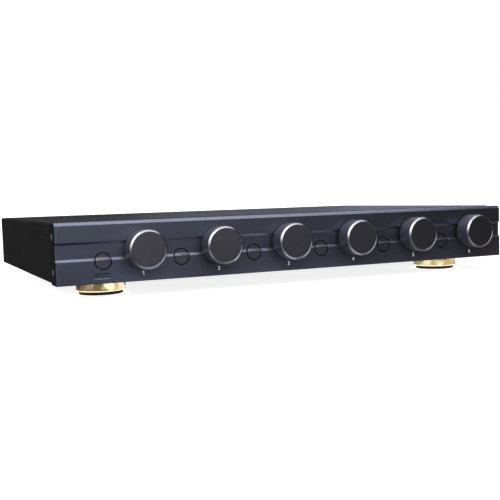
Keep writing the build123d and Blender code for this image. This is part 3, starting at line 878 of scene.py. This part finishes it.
# %% Knob back: skirt, hub and bore
pick_edges(knob, at_level(AXIS_Y, knob_high.y))
bevel(SKIRT_EDGE, 2)
pick_faces(knob, facing(BACK))
inset(KNOB_SKIRT_WALL - SKIRT_EDGE)
extrude(0, KNOB_FACE_THICK - knob_length, 0)
inset(knob_radius - KNOB_SKIRT_WALL - HUB_RADIUS)
extrude(0, knob_length - KNOB_FACE_THICK - HUB_SHORT, 0)
inset(HUB_RADIUS - BORE_RADIUS)
extrude(0, bore_end - (knob_high.y - HUB_SHORT), 0)
print("bore ends at", round(bore_end, 2))

# %% [markdown]
# ## Knob finishes
#
# The black part is anodised like the panel, but turned: its faint lines are
# circles about the knob's axis. The six knobs share one finish. They stand at an
# even pitch, so wrapping the Object coordinate X at that pitch puts the middle of
# every knob at zero, and the distance from there drives the rings. The bevel is
# bare metal, bright and finely turned.

# %% Knob finishes
knob_pitch = box_mm("knob_2")[0].x - knob_low.x


def darker(colour, share):
    """A colour whose parts are taken down to a share."""
    return [part * share for part in colour]


def turned_rings(tree, rings_per_mm):
    """A noise that is the same all the way round each knob's axis."""
    at = object_place(tree)
    wrap_high = (knob_mid.x + knob_pitch / 2) * MM
    wrap_low = (knob_mid.x - knob_pitch / 2) * MM
    wrapped = calculate(tree, "WRAP", at["X"], wrap_high, wrap_low)
    sideways = calculate(tree, "SUBTRACT", wrapped, knob_mid.x * MM)
    upwards = calculate(tree, "SUBTRACT", at["Z"], knob_mid.z * MM)
    off_axis = add_node(tree, "CombineXYZ", {"X": sideways, "Y": upwards})
    distance = tree.nodes.new("ShaderNodeVectorMath")
    distance.operation = "LENGTH"
    tree.links.new(off_axis.outputs[0], distance.inputs[0])
    profile = add_node(tree, "CombineXYZ", {"X": distance.outputs["Value"], "Y": at["Y"]})
    return noise_at(tree, profile.outputs[0], rings_per_mm / MM, 2)


def turned_finish(name, colour, metallic, roughness, rings_per_mm, relief_mm):
    """Metal off the lathe, with faint rings about each knob's axis."""
    finish, tree, shader = start_finish(name, colour, metallic, roughness)
    rings = turned_rings(tree, rings_per_mm)
    vary_colour(tree, shader, stretched_noise(tree, 60), darker(colour, 0.92), colour)
    vary_roughness(tree, shader, rings, roughness - 0.03, roughness + 0.04)
    raise_grain(tree, shader, rings, relief_mm, 0.2)
    return finish


knob_black = turned_finish("knob_black", (0.067, 0.066, 0.077), 0.95, 0.36, 2.5, 0.02)
knob_skirt = turned_finish("knob_skirt", (0.060, 0.059, 0.080), 0.65, 0.40, 2.5, 0.02)
knob_bright = turned_finish("knob_bright", (0.125, 0.126, 0.142), 0.95, 0.3, 4.0, 0.005)

# %% [markdown]
# One knob has three finishes. Material slots belong to the mesh, and each face
# says which slot it uses, so the rim and the skirt are selected and assigned. The
# dressed knob is then copied at the pitch, and each copy turns with its own body.

# %% Dress the knob and copy it
RIM_SLOPE = (0.5, 0.9)
SKIRT_SLOPE = 0.3


def rim_face(at, way):
    """Whether a face belongs to the knob's bevel."""
    off_axis = (at.xz - knob_mid.xz).length
    return RIM_SLOPE[0] < -way.y < RIM_SLOPE[1] and off_axis > knob_radius - KNOB_BEVEL


def skirt_face(at, way):
    """Whether a face belongs to the outer wall of the knob."""
    return abs(way.y) < SKIRT_SLOPE and (at.xz - knob_mid.xz).length > knob_radius - EDGE


def assign_finish(piece, finish, wanted):
    """Adds a finish to a piece and puts it on the wanted faces."""
    piece.data.materials.append(finish)
    pick_faces(piece, wanted)
    piece.active_material_index = len(piece.data.materials) - 1
    bpy.ops.object.material_slot_assign()


def zone_copies(first, name, pitch):
    """The first piece and a copy for each further zone, one pitch after the other."""
    copies = [first]
    for zone in ZONES[1:]:
        copies.append(copy_piece(first, f"{name}_{zone}", (pitch * (zone - 1), 0, 0)))
    return copies


knob.data.materials.append(knob_black)
assign_finish(knob, knob_bright, rim_face)
assign_finish(knob, knob_skirt, skirt_face)
finish_piece(knob)
for zone, piece in zip(ZONES, zone_copies(knob, "turned_knob", knob_pitch)):
    stand_for(piece, f"knob_{zone}", f"volume_knob_{zone}")
print("knobs, one every", round(knob_pitch, 2), "mm")

# %% [markdown]
# ## Zone buttons
#
# The buttons are flush. Each was cut with the panel, so its face carries on the
# panel's groove: a flat, a slope and a deeper flat. A disc gets that shape with
# two bisect cuts across it. Only the face above the upper cut is then pushed
# back, and the strip between the cuts tilts into the slope.

# %% Button shape
GROOVE_DEPTH = 1.5
GROOVE_EDGE_Z = 30.4
SLOPE_HEIGHT = 1.9
BUTTON_EDGE = 0.45
POCKET_RADIUS = 2.9
POCKET_DEPTH = 4.0
BUTTON_STEPS = 96
RIM_WITHIN = 0.02

button_low, button_high = box_mm("button_1")
button_mid = (button_low + button_high) / 2
button_radius = (button_high.x - button_low.x) / 2
button_length = button_high.y - button_low.y
slope_top = GROOVE_EDGE_Z + SLOPE_HEIGHT


def on_front_rim(a, b):
    """Whether an edge runs round the front of the button."""
    off_axis = [(end.xz - button_mid.xz).length for end in (a, b)]
    across = (a.xz - b.xz).length > SAME_WITHIN
    return across and min(off_axis) > button_radius - RIM_WITHIN and max(a.y, b.y) < button_mid.y


button = start_disc(
    "grooved_button_1", button_radius, button_length, button_mid, LYING, BUTTON_STEPS
)
for cut_z in (GROOVE_EDGE_Z, slope_top):
    bpy.ops.mesh.select_all(action="SELECT")
    bpy.ops.mesh.bisect(plane_co=mm(0, 0, cut_z), plane_no=(0, 0, 1))
pick_faces(button, lambda at, way: way.y < -STRAIGHT and at.z > slope_top)
bpy.ops.transform.translate(value=mm(0, GROOVE_DEPTH, 0))
pick_edges(button, on_front_rim)
bevel(BUTTON_EDGE, 2)
pick_faces(button, facing(BACK))
bpy.ops.mesh.dissolve_faces()
inset(button_radius - POCKET_RADIUS)
extrude(0, -POCKET_DEPTH, 0)
print("pocket for the plunger", POCKET_DEPTH, "mm deep")

# %% [markdown]
# The face is anodised like the panel. The round wall stands in a narrow gap, and
# the shade in that gap is painted on it as a dull black of its own, which draws
# the dark ring that shows where each button is.

# %% Dress the button and copy it
GAP_SHADE_DARK = (0.003, 0.003, 0.004)
GAP_SHADE_LIGHT = (0.006, 0.006, 0.007)


def button_wall(at, way):
    """Whether a face belongs to the round wall of the button or its edge."""
    return (at.xz - button_mid.xz).length > button_radius - BUTTON_EDGE


# Painted shade: the wall and edge of each button are painted a dull black for the shade in the
# gap.
gap_shade_finish, gap_shade_tree, gap_shade_shader = start_finish("button_gap_painted_shade", GAP_SHADE_LIGHT, 0.0, 0.8, 0.1)
vary_colour(gap_shade_tree, gap_shade_shader, stretched_noise(gap_shade_tree, 800), GAP_SHADE_DARK, GAP_SHADE_LIGHT)
button_finish = anodised("anodised_button", (0.060, 0.062, 0.079), (0.065, 0.067, 0.085), 0.36)
button.data.materials.append(button_finish)
assign_finish(button, gap_shade_finish, button_wall)
finish_piece(button)

button_pitch = box_mm("button_2")[0].x - button_low.x
for zone, piece in zip(ZONES, zone_copies(button, "grooved_button", button_pitch)):
    stand_for(piece, f"button_{zone}", f"zone_button_{zone}")
print("buttons, one every", round(button_pitch, 2), "mm")

# %% [markdown]
# ## Gold feet
#
# Each foot is a turned brass cup, polished and gold plated, that holds a rubber
# pad. It starts as a cylinder too. The lower rim is bevelled, the underside is
# hollowed to take the pad, and the hole for the screw is bridged right through.

# %% Foot shape
FOOT_BEVEL = 0.6
FOOT_CEILING = 2.0
PAD_RADIUS = 18.3
PAD_SLIP = 0.15
SCREW_HOLE = 2.2
FOOT_NAMES = ("front_left", "front_right", "rear_left", "rear_right")

foot_low, foot_high = box_mm("foot_shell_front_left")
foot_mid = (foot_low + foot_high) / 2
foot_radius = (foot_high.x - foot_low.x) / 2

foot = start_disc("gold_foot_front_left", foot_radius, foot_high.z - foot_low.z, foot_mid)
pick_edges(foot, at_level(AXIS_Z, foot_low.z))
bevel(FOOT_BEVEL)
pick_edges(foot, lambda a, b: near(a.z, b.z) and a.z < foot_low.z + FOOT_BEVEL + EDGE)
bevel(EDGE, 2)
pick_edges(foot, at_level(AXIS_Z, foot_high.z))
bevel(SKIRT_EDGE, 2)
pick_faces(foot, facing(DOWN))
inset(foot_radius - FOOT_BEVEL - EDGE - PAD_RADIUS - PAD_SLIP)
extrude(0, 0, foot_high.z - FOOT_CEILING - foot_low.z)
inset(PAD_RADIUS + PAD_SLIP - SCREW_HOLE)
pick_faces(foot, facing(UP))
inset(foot_radius - SKIRT_EDGE - SCREW_HOLE)


def screw_hole_cap(at, way):
    """Whether a face closes the screw hole of the first foot, above or below."""
    return abs(way.z) > STRAIGHT and (at.xy - foot_mid.xy).length < SCREW_HOLE


pick_faces(foot, screw_hole_cap)
bpy.ops.mesh.bridge_edge_loops()
print("screw hole", SCREW_HOLE * 2, "mm across")

# %% [markdown]
# Gold plate is a plain metal with a warm colour and little roughness. The tool
# leaves faint lines round the foot, so its noise is squeezed along Z. One foot is
# finished, and the other three are copies that move by the step between nodes.

# %% Gold plate
def gold_plate(name, colour):
    """Polished gold plate with faint turning lines round it."""
    finish, tree, shader = start_finish(name, colour, 1.0, 0.1)
    vary_colour(tree, shader, stretched_noise(tree, 90), darker(colour, 0.88), colour)
    lines = stretched_noise(tree, 3000, (0.02, 0.02, 1))
    vary_roughness(tree, shader, lines, 0.08, 0.13)
    raise_grain(tree, shader, lines, 0.01, 0.05)
    return finish


def corner_copies(first, name):
    """The first piece and a copy of it at each of the other feet."""
    copies = [first]
    for corner in FOOT_NAMES[1:]:
        step = box_mm(f"foot_shell_{corner}")[0] - foot_low
        copies.append(copy_piece(first, f"{name}_{corner}", step))
    return copies


foot.data.materials.append(gold_plate("gold_plate", (0.92, 0.74, 0.44)))
finish_piece(foot)
for corner, piece in zip(FOOT_NAMES, corner_copies(foot, "gold_foot")):
    stand_for(piece, f"foot_shell_{corner}", "case")
print("feet", len(FOOT_NAMES))

# %% [markdown]
# ## Rubber pads
#
# A moulded ring of black rubber fills each foot and stands a little out of it.
# The pad gets a softened lower rim, a moulded ring in its underside, and the bore
# that the screw head sits in.

# %% Pads
PAD_BORE = 5.5
PAD_RIM = 0.8
PAD_GRIP = 4.0
PAD_GROOVE = 1.5
PAD_GROOVE_DEPTH = 0.6
pads_low, pads_high = box_mm("foot_pads")
pad_mid = Vector((foot_mid.x, foot_mid.y, (pads_low.z + pads_high.z) / 2))

pad = start_disc("rubber_pads", PAD_RADIUS, pads_high.z - pads_low.z, pad_mid)
pick_edges(pad, at_level(AXIS_Z, pads_low.z))
bevel(PAD_RIM, 4)
pick_faces(pad, facing(DOWN))
inset(PAD_GRIP)
inset(EDGE, -PAD_GROOVE_DEPTH)
inset(PAD_GROOVE)
inset(EDGE, PAD_GROOVE_DEPTH)
inset(PAD_RADIUS - PAD_RIM - PAD_GRIP - PAD_GROOVE - 2 * EDGE - PAD_BORE)
pick_faces(pad, facing(UP))
inset(PAD_RADIUS - PAD_BORE)
pick_faces(pad, screw_hole_cap)
bpy.ops.mesh.bridge_edge_loops()

# %% [markdown]
# Rubber is dull, with a fine eroded grain from its mould. The rounded rim of the
# pad is smoothed as one curve, so it takes a wider smoothing angle. The model has
# all four pads in one node, so the four copies are joined into one piece.

# %% Rubber, and the four pads as one piece
RUBBER_DARK = (0.011, 0.010, 0.0095)
RUBBER_LIGHT = (0.017, 0.016, 0.015)
RIM_SMOOTH = 30

rubber, rubber_tree, rubber_shader = start_finish("rubber_pad", RUBBER_LIGHT, 0.0, 0.7, 0.15)
rubber_bloom = stretched_noise(rubber_tree, 300)
vary_colour(rubber_tree, rubber_shader, rubber_bloom, RUBBER_DARK, RUBBER_LIGHT)
raise_grain(rubber_tree, rubber_shader, stretched_noise(rubber_tree, 2500), 0.04, 0.4)
pad.data.materials.append(rubber)
finish_piece(pad, RIM_SMOOTH)

pads = join_pieces(corner_copies(pad, "pad"), "rubber_pads")
stand_for(pads, "foot_pads", "case")

# %% [markdown]
# ## Printed numbers
#
# White numbers, 1 to 6, are printed under the knobs. A text object is the quick
# way to a clean number. It is made a mesh while it still lies flat at the origin.
# Its front, back and sides come apart, so they are merged into one closed skin,
# then it is stood up and put in place, and the six are joined into one print. The
# font's 1 is a plain stroke, so it gets a small flag, to read as a number.

# %% A printed mark
DIGIT_SHARE = 0.7
CURVE_STEPS = 5
INK_THICK = 0.02
INK_SPREAD = 0.1
NUMBER_HEIGHT = 3.1
FLAG_ROOT = 0.9
FLAG_REACH = 0.75
FLAG_DROP = 0.35


def add_flag(mark):
    """In edit mode, pulls a sloping flag out of the upper left of the stroke of a 1."""
    root_y = max(corner[1] for corner in mark.bound_box) / MM - FLAG_ROOT
    bpy.ops.mesh.bisect(plane_co=mm(0, root_y, 0), plane_no=(0, 1, 0))
    pick_faces(mark, lambda at, way: way.x < -STRAIGHT and at.y > root_y)
    extrude(-FLAG_REACH, -FLAG_DROP, 0)
    bpy.ops.mesh.select_all(action="SELECT")


def printed_mark(text, place, turn_degrees=0):
    """A number or sign as thin ink, standing up and centred at a place in millimetres."""
    clear_selection()
    bpy.ops.object.text_add(location=(0, 0, 0))
    letters = bpy.context.object.data
    letters.body = text
    letters.align_x = "CENTER"
    letters.align_y = "CENTER"
    letters.size = NUMBER_HEIGHT * MM / DIGIT_SHARE
    letters.extrude = INK_THICK * MM
    letters.offset = INK_SPREAD * MM
    letters.resolution_u = CURVE_STEPS
    bpy.ops.object.convert(target="MESH")
    mark = bpy.context.object
    merge_skin()
    bpy.ops.mesh.beautify_fill()
    if text == "1":
        add_flag(mark)
    bpy.ops.mesh.normals_make_consistent(inside=False)
    bpy.ops.object.mode_set(mode="OBJECT")
    mark.rotation_euler = (math.radians(90), 0, math.radians(turn_degrees))
    mark.location = mm(*place)
    return settle(f"mark_{len(bpy.data.objects)}")


# %% [markdown]
# The ink is screen-printed, so it lies flat and is a little uneven. All the marks
# of one print are joined into one piece, which is new and moves with the case.

# %% White ink, and the front numbers
NUMBER_Z = 18.3


def ink(name, colour):
    """Screen-printed ink, a little uneven."""
    finish, tree, shader = start_finish(name, colour, 0.0, 0.5)
    vary_colour(tree, shader, stretched_noise(tree, 2500), darker(colour, 0.85), colour)
    return finish


white_ink = ink("white_ink", (0.96, 0.96, 0.97))


def print_marks(marks, name):
    """Joins marks into one print in white ink on the case."""
    printed = join_pieces(marks, name)
    printed.data.materials.append(white_ink)
    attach(printed, "case")


marks = []
for zone in ZONES:
    number_x = knob_mid.x + knob_pitch * (zone - 1)
    marks.append(printed_mark(str(zone), (number_x, panel_face_y, NUMBER_Z)))
print_marks(marks, "front_numbers")

# %% [markdown]
# At the back every strip has its zone's number above it, and a plus or a minus
# under each screw, as loudspeaker wires need. The first strip is the input and
# has no number. The same helper prints them, turned round to face backwards.

# %% Rear numbers and signs
REAR_NUMBER_Z = 45.4
REAR_SIGN_Z = 19.0
STRIPS = 7
STRIP_PITCH = 58.0
WAYS = 4
WAY_PITCH = 9.5
BACKWARD = 180

rear_face_y = box_mm("rear_panel")[1].y
marks = []
for zone in range(STRIPS):
    strip_x = STRIP_PITCH * (zone - (STRIPS - 1) / 2)
    if zone:
        marks.append(printed_mark(str(zone), (strip_x, rear_face_y, REAR_NUMBER_Z), BACKWARD))
    for way in range(WAYS):
        sign_x = strip_x + WAY_PITCH * (way - (WAYS - 1) / 2)
        marks.append(printed_mark("+-"[way % 2], (sign_x, rear_face_y, REAR_SIGN_Z), BACKWARD))
print_marks(marks, "rear_marks")

# %% [markdown]
# ## The other finishes
#
# What is left are screws, terminals and the parts inside. They are small, and
# each finish has its own grain. Plating comes first: nickel is warm, zinc is cold
# and spangled, and screws that should not be seen are blackened.

# %% Plated metal
def plated(name, dark, light, roughness, spots):
    """Plated steel whose tone drifts in spots of a size given per metre."""
    finish, tree, shader = start_finish(name, light, 1.0, roughness)
    vary_colour(tree, shader, stretched_noise(tree, spots), dark, light)
    vary_roughness(tree, shader, stretched_noise(tree, 900), roughness - 0.05, roughness + 0.08)
    raise_grain(tree, shader, stretched_noise(tree, 4000), 0.01, 0.2)
    return finish


nickel = plated("nickel_plate", (0.50, 0.49, 0.46), (0.66, 0.65, 0.61), 0.26, 400)
zinc = plated("zinc_plate", (0.48, 0.50, 0.53), (0.64, 0.66, 0.68), 0.34, 150)
black_zinc = plated("black_zinc", (0.045, 0.045, 0.048), (0.07, 0.07, 0.075), 0.34, 500)
cap_screw_zinc = plated("grey_zinc", (0.42, 0.42, 0.43), (0.55, 0.55, 0.56), 0.3, 500)
dress(["terminal_screws", "foot_screws", "shaft_nuts"], nickel)
dress([f"shaft_{zone}" for zone in ZONES], nickel)
dress(["control_plate", "ear_bracket_left", "ear_bracket_right"], zinc)
dress(["case_screws"], black_zinc)
dress(["end_cap_screws"], cap_screw_zinc)

# %% [markdown]
# ## Moulded plastic
#
# Switches, plungers and terminals are moulded, and the spark-eroded mould leaves
# a fine even grain. One helper makes them all, in black, nylon white and phenolic.

# %% Moulded plastic
def moulded(name, colour, roughness):
    """Moulded plastic with a faint eroded texture."""
    finish, tree, shader = start_finish(name, colour, 0.0, roughness, 0.4)
    vary_colour(tree, shader, stretched_noise(tree, 250), darker(colour, 0.82), colour)
    vary_roughness(tree, shader, stretched_noise(tree, 700), roughness - 0.05, roughness + 0.06)
    raise_grain(tree, shader, stretched_noise(tree, 3500), 0.02, 0.3)
    return finish


switch_plastic = moulded("switch_plastic", (0.05, 0.05, 0.05), 0.5)
dress(["push_switches"] + [f"volume_switch_{zone}" for zone in ZONES], switch_plastic)
dress([f"plunger_{zone}" for zone in ZONES], moulded("natural_nylon", (0.74, 0.73, 0.68), 0.45))
dress(["terminal_strips"], moulded("black_phenolic", (0.017, 0.0165, 0.016), 0.5))

# %% [markdown]
# ## Softened edges
#
# The end caps and the terminal strips have the right shape already, but their
# edges are perfectly sharp, and no real edge is. A copy of the node is merged
# into one skin and its flat faces are joined. Then its edges can be bevelled, and
# the copy stands for the node, which itself is left alone. The tags that mark the
# node as a part of the frame are copied too, so the copy loses them.

# %% A merged copy of a node
FLAT_WITHIN = 1


def merged_copy(node, name):
    """A copy of a CAD node, open in edit mode, as one skin with whole flat faces."""
    clear_selection()
    nodes[node].select_set(True)
    bpy.context.view_layer.objects.active = nodes[node]
    bpy.ops.object.duplicate()
    piece = bpy.context.object
    piece.name = name
    piece.data.name = name
    for tag in list(piece.keys()):
        del piece[tag]
    bpy.ops.object.parent_clear(type="CLEAR_KEEP_TRANSFORM")
    merge_skin()
    bpy.ops.mesh.dissolve_limited(angle_limit=math.radians(FLAT_WITHIN))
    return piece


# %% [markdown]
# An end cap is rounded where a hand meets it: round the outline of its outer
# face. The edges round its two screws stay crisp, so they are told apart by their
# distance from the screws.

# %% Softened end caps
CAP_ROUNDING = 0.6
SCREW_ROOM = 1.5

cap_outer_x = cad_high.x / MM
screws_low, screws_high = box_mm("end_cap_screws")
head_radius = (screws_high.y - screws_low.y) / 2
screw_y = (screws_low.y + screws_high.y) / 2
screw_heights = (screws_low.z + head_radius, screws_high.z - head_radius)
screw_places = [Vector((screw_y, height)) for height in screw_heights]


def on_cap_outline(a, b):
    """Whether both ends lie on the outer face of an end cap and not at its screws."""
    on_face = all(near(abs(end.x), cap_outer_x) for end in (a, b))
    gap = min((end.yz - place).length for end in (a, b) for place in screw_places)
    return on_face and gap > SCREW_ROOM * head_radius


for side in ("left", "right"):
    cap = merged_copy(f"end_cap_{side}", f"soft_end_cap_{side}")
    pick_edges(cap, on_cap_outline)
    bevel(CAP_ROUNDING, 2)
    finish_piece(cap)
    stand_for(cap, f"end_cap_{side}", "case")

# %% [markdown]
# The terminal strips have hundreds of edges, and all of them are moulded a little
# round. A Bevel modifier takes every sharp edge by its angle, so nothing has to be
# selected, and it narrows the bevel where there is no room.

# %% Softened terminal strips
SHARP_FROM = 35
STRIP_ROUNDING = 0.2

strips = merged_copy("terminal_strips", "soft_terminal_strips")
bpy.ops.object.mode_set(mode="OBJECT")
rounding = strips.modifiers.new("rounding", "BEVEL")
rounding.width = STRIP_ROUNDING * MM
rounding.segments = 1
rounding.limit_method = "ANGLE"
rounding.angle_limit = math.radians(SHARP_FROM)
bpy.ops.object.modifier_apply(modifier=rounding.name)
finish_piece(strips, SHARP_FROM)
stand_for(strips, "terminal_strips", "case")

# %% [markdown]
# ## Board and leads
#
# Both are striped: copper tracks show as paler bands under the board's green
# lacquer, and a flat cable is a row of round wires. A Wave texture in band mode
# makes the stripes. At a scale of 1 it has ten full waves in a length of pi, so a
# pitch in millimetres is turned into a scale once, in the helper.

# %% Board and leads
WAVES_IN_PI = 10
TRACK_PITCH = 5.08
RIBBON_PITCH = 1.27


def bands(tree, axis, pitch_mm):
    """A soft stripe pattern across an axis, with one stripe at every pitch."""
    place = tree.nodes.new("ShaderNodeTexCoord").outputs["Object"]
    scale = math.pi / (WAVES_IN_PI * pitch_mm * MM)
    wave = add_node(tree, "TexWave", {"Vector": place, "Scale": scale})
    wave.wave_type = "BANDS"
    wave.bands_direction = axis
    return wave.outputs["Fac"]


board, board_tree, board_shader = start_finish("board_green", (0.03, 0.16, 0.07), 0.0, 0.3)
tracks = bands(board_tree, "X", TRACK_PITCH)
vary_colour(board_tree, board_shader, tracks, (0.02, 0.12, 0.05), (0.05, 0.22, 0.09))
raise_grain(board_tree, board_shader, stretched_noise(board_tree, 1500), 0.02, 0.2)
dress(["switch_board"], board)

ribbon, ribbon_tree, ribbon_shader = start_finish("ribbon_grey", (0.34, 0.34, 0.35), 0.0, 0.55)
ribs = bands(ribbon_tree, "X", RIBBON_PITCH)
vary_colour(ribbon_tree, ribbon_shader, ribs, (0.26, 0.26, 0.27), (0.36, 0.36, 0.37))
raise_grain(ribbon_tree, ribbon_shader, ribs, 0.3, 0.6)
dress(["zone_leads"], ribbon)

# %% [markdown]
# ## Transformers
#
# Each node is a pair of transformers in one solid: a stack of thin steel sheets
# with a copper winding that stands out in front of it and behind it. How far a
# point is from the nearer core's middle, along Y, tells steel from copper.

# %% Transformers
CORE_HALF = 8.05
LAMINATION_PITCH = 1.0
COIL_OUT = 13.0
COPPER = (0.55, 0.22, 0.09, 1)


def transformer_finish(name, front_y_mm, rear_y_mm):
    """Stacked steel between the core's faces, and a copper winding in front of and behind them."""
    finish, tree, shader = start_finish(name, (0.2, 0.19, 0.18), 0.8, 0.45)
    along = object_place(tree)["Y"]
    off_front = calculate(tree, "SUBTRACT", along, front_y_mm * MM)
    off_rear = calculate(tree, "SUBTRACT", along, rear_y_mm * MM)
    distances = [calculate(tree, "ABSOLUTE", off) for off in (off_front, off_rear)]
    nearest = calculate(tree, "MINIMUM", *distances)
    winding = calculate(tree, "GREATER_THAN", nearest, CORE_HALF * MM)
    stack = bands(tree, "Y", LAMINATION_PITCH)
    steel = vary_colour(tree, shader, stack, (0.13, 0.125, 0.12), (0.24, 0.235, 0.23))
    mix_colours(tree, shader, winding, steel, COPPER)
    raise_grain(tree, shader, stack, 0.1, 0.5)
    return finish


core_low, core_high = box_mm("transformer_pair_1")
transformer = transformer_finish("transformer", core_low.y + COIL_OUT, core_high.y - COIL_OUT)
dress([f"transformer_pair_{zone}" for zone in ZONES], transformer)

# %% [markdown]
# ## The end
#
# The last line takes the box round the finished model, as one was taken round the
# engineering model at the start.

low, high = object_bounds()
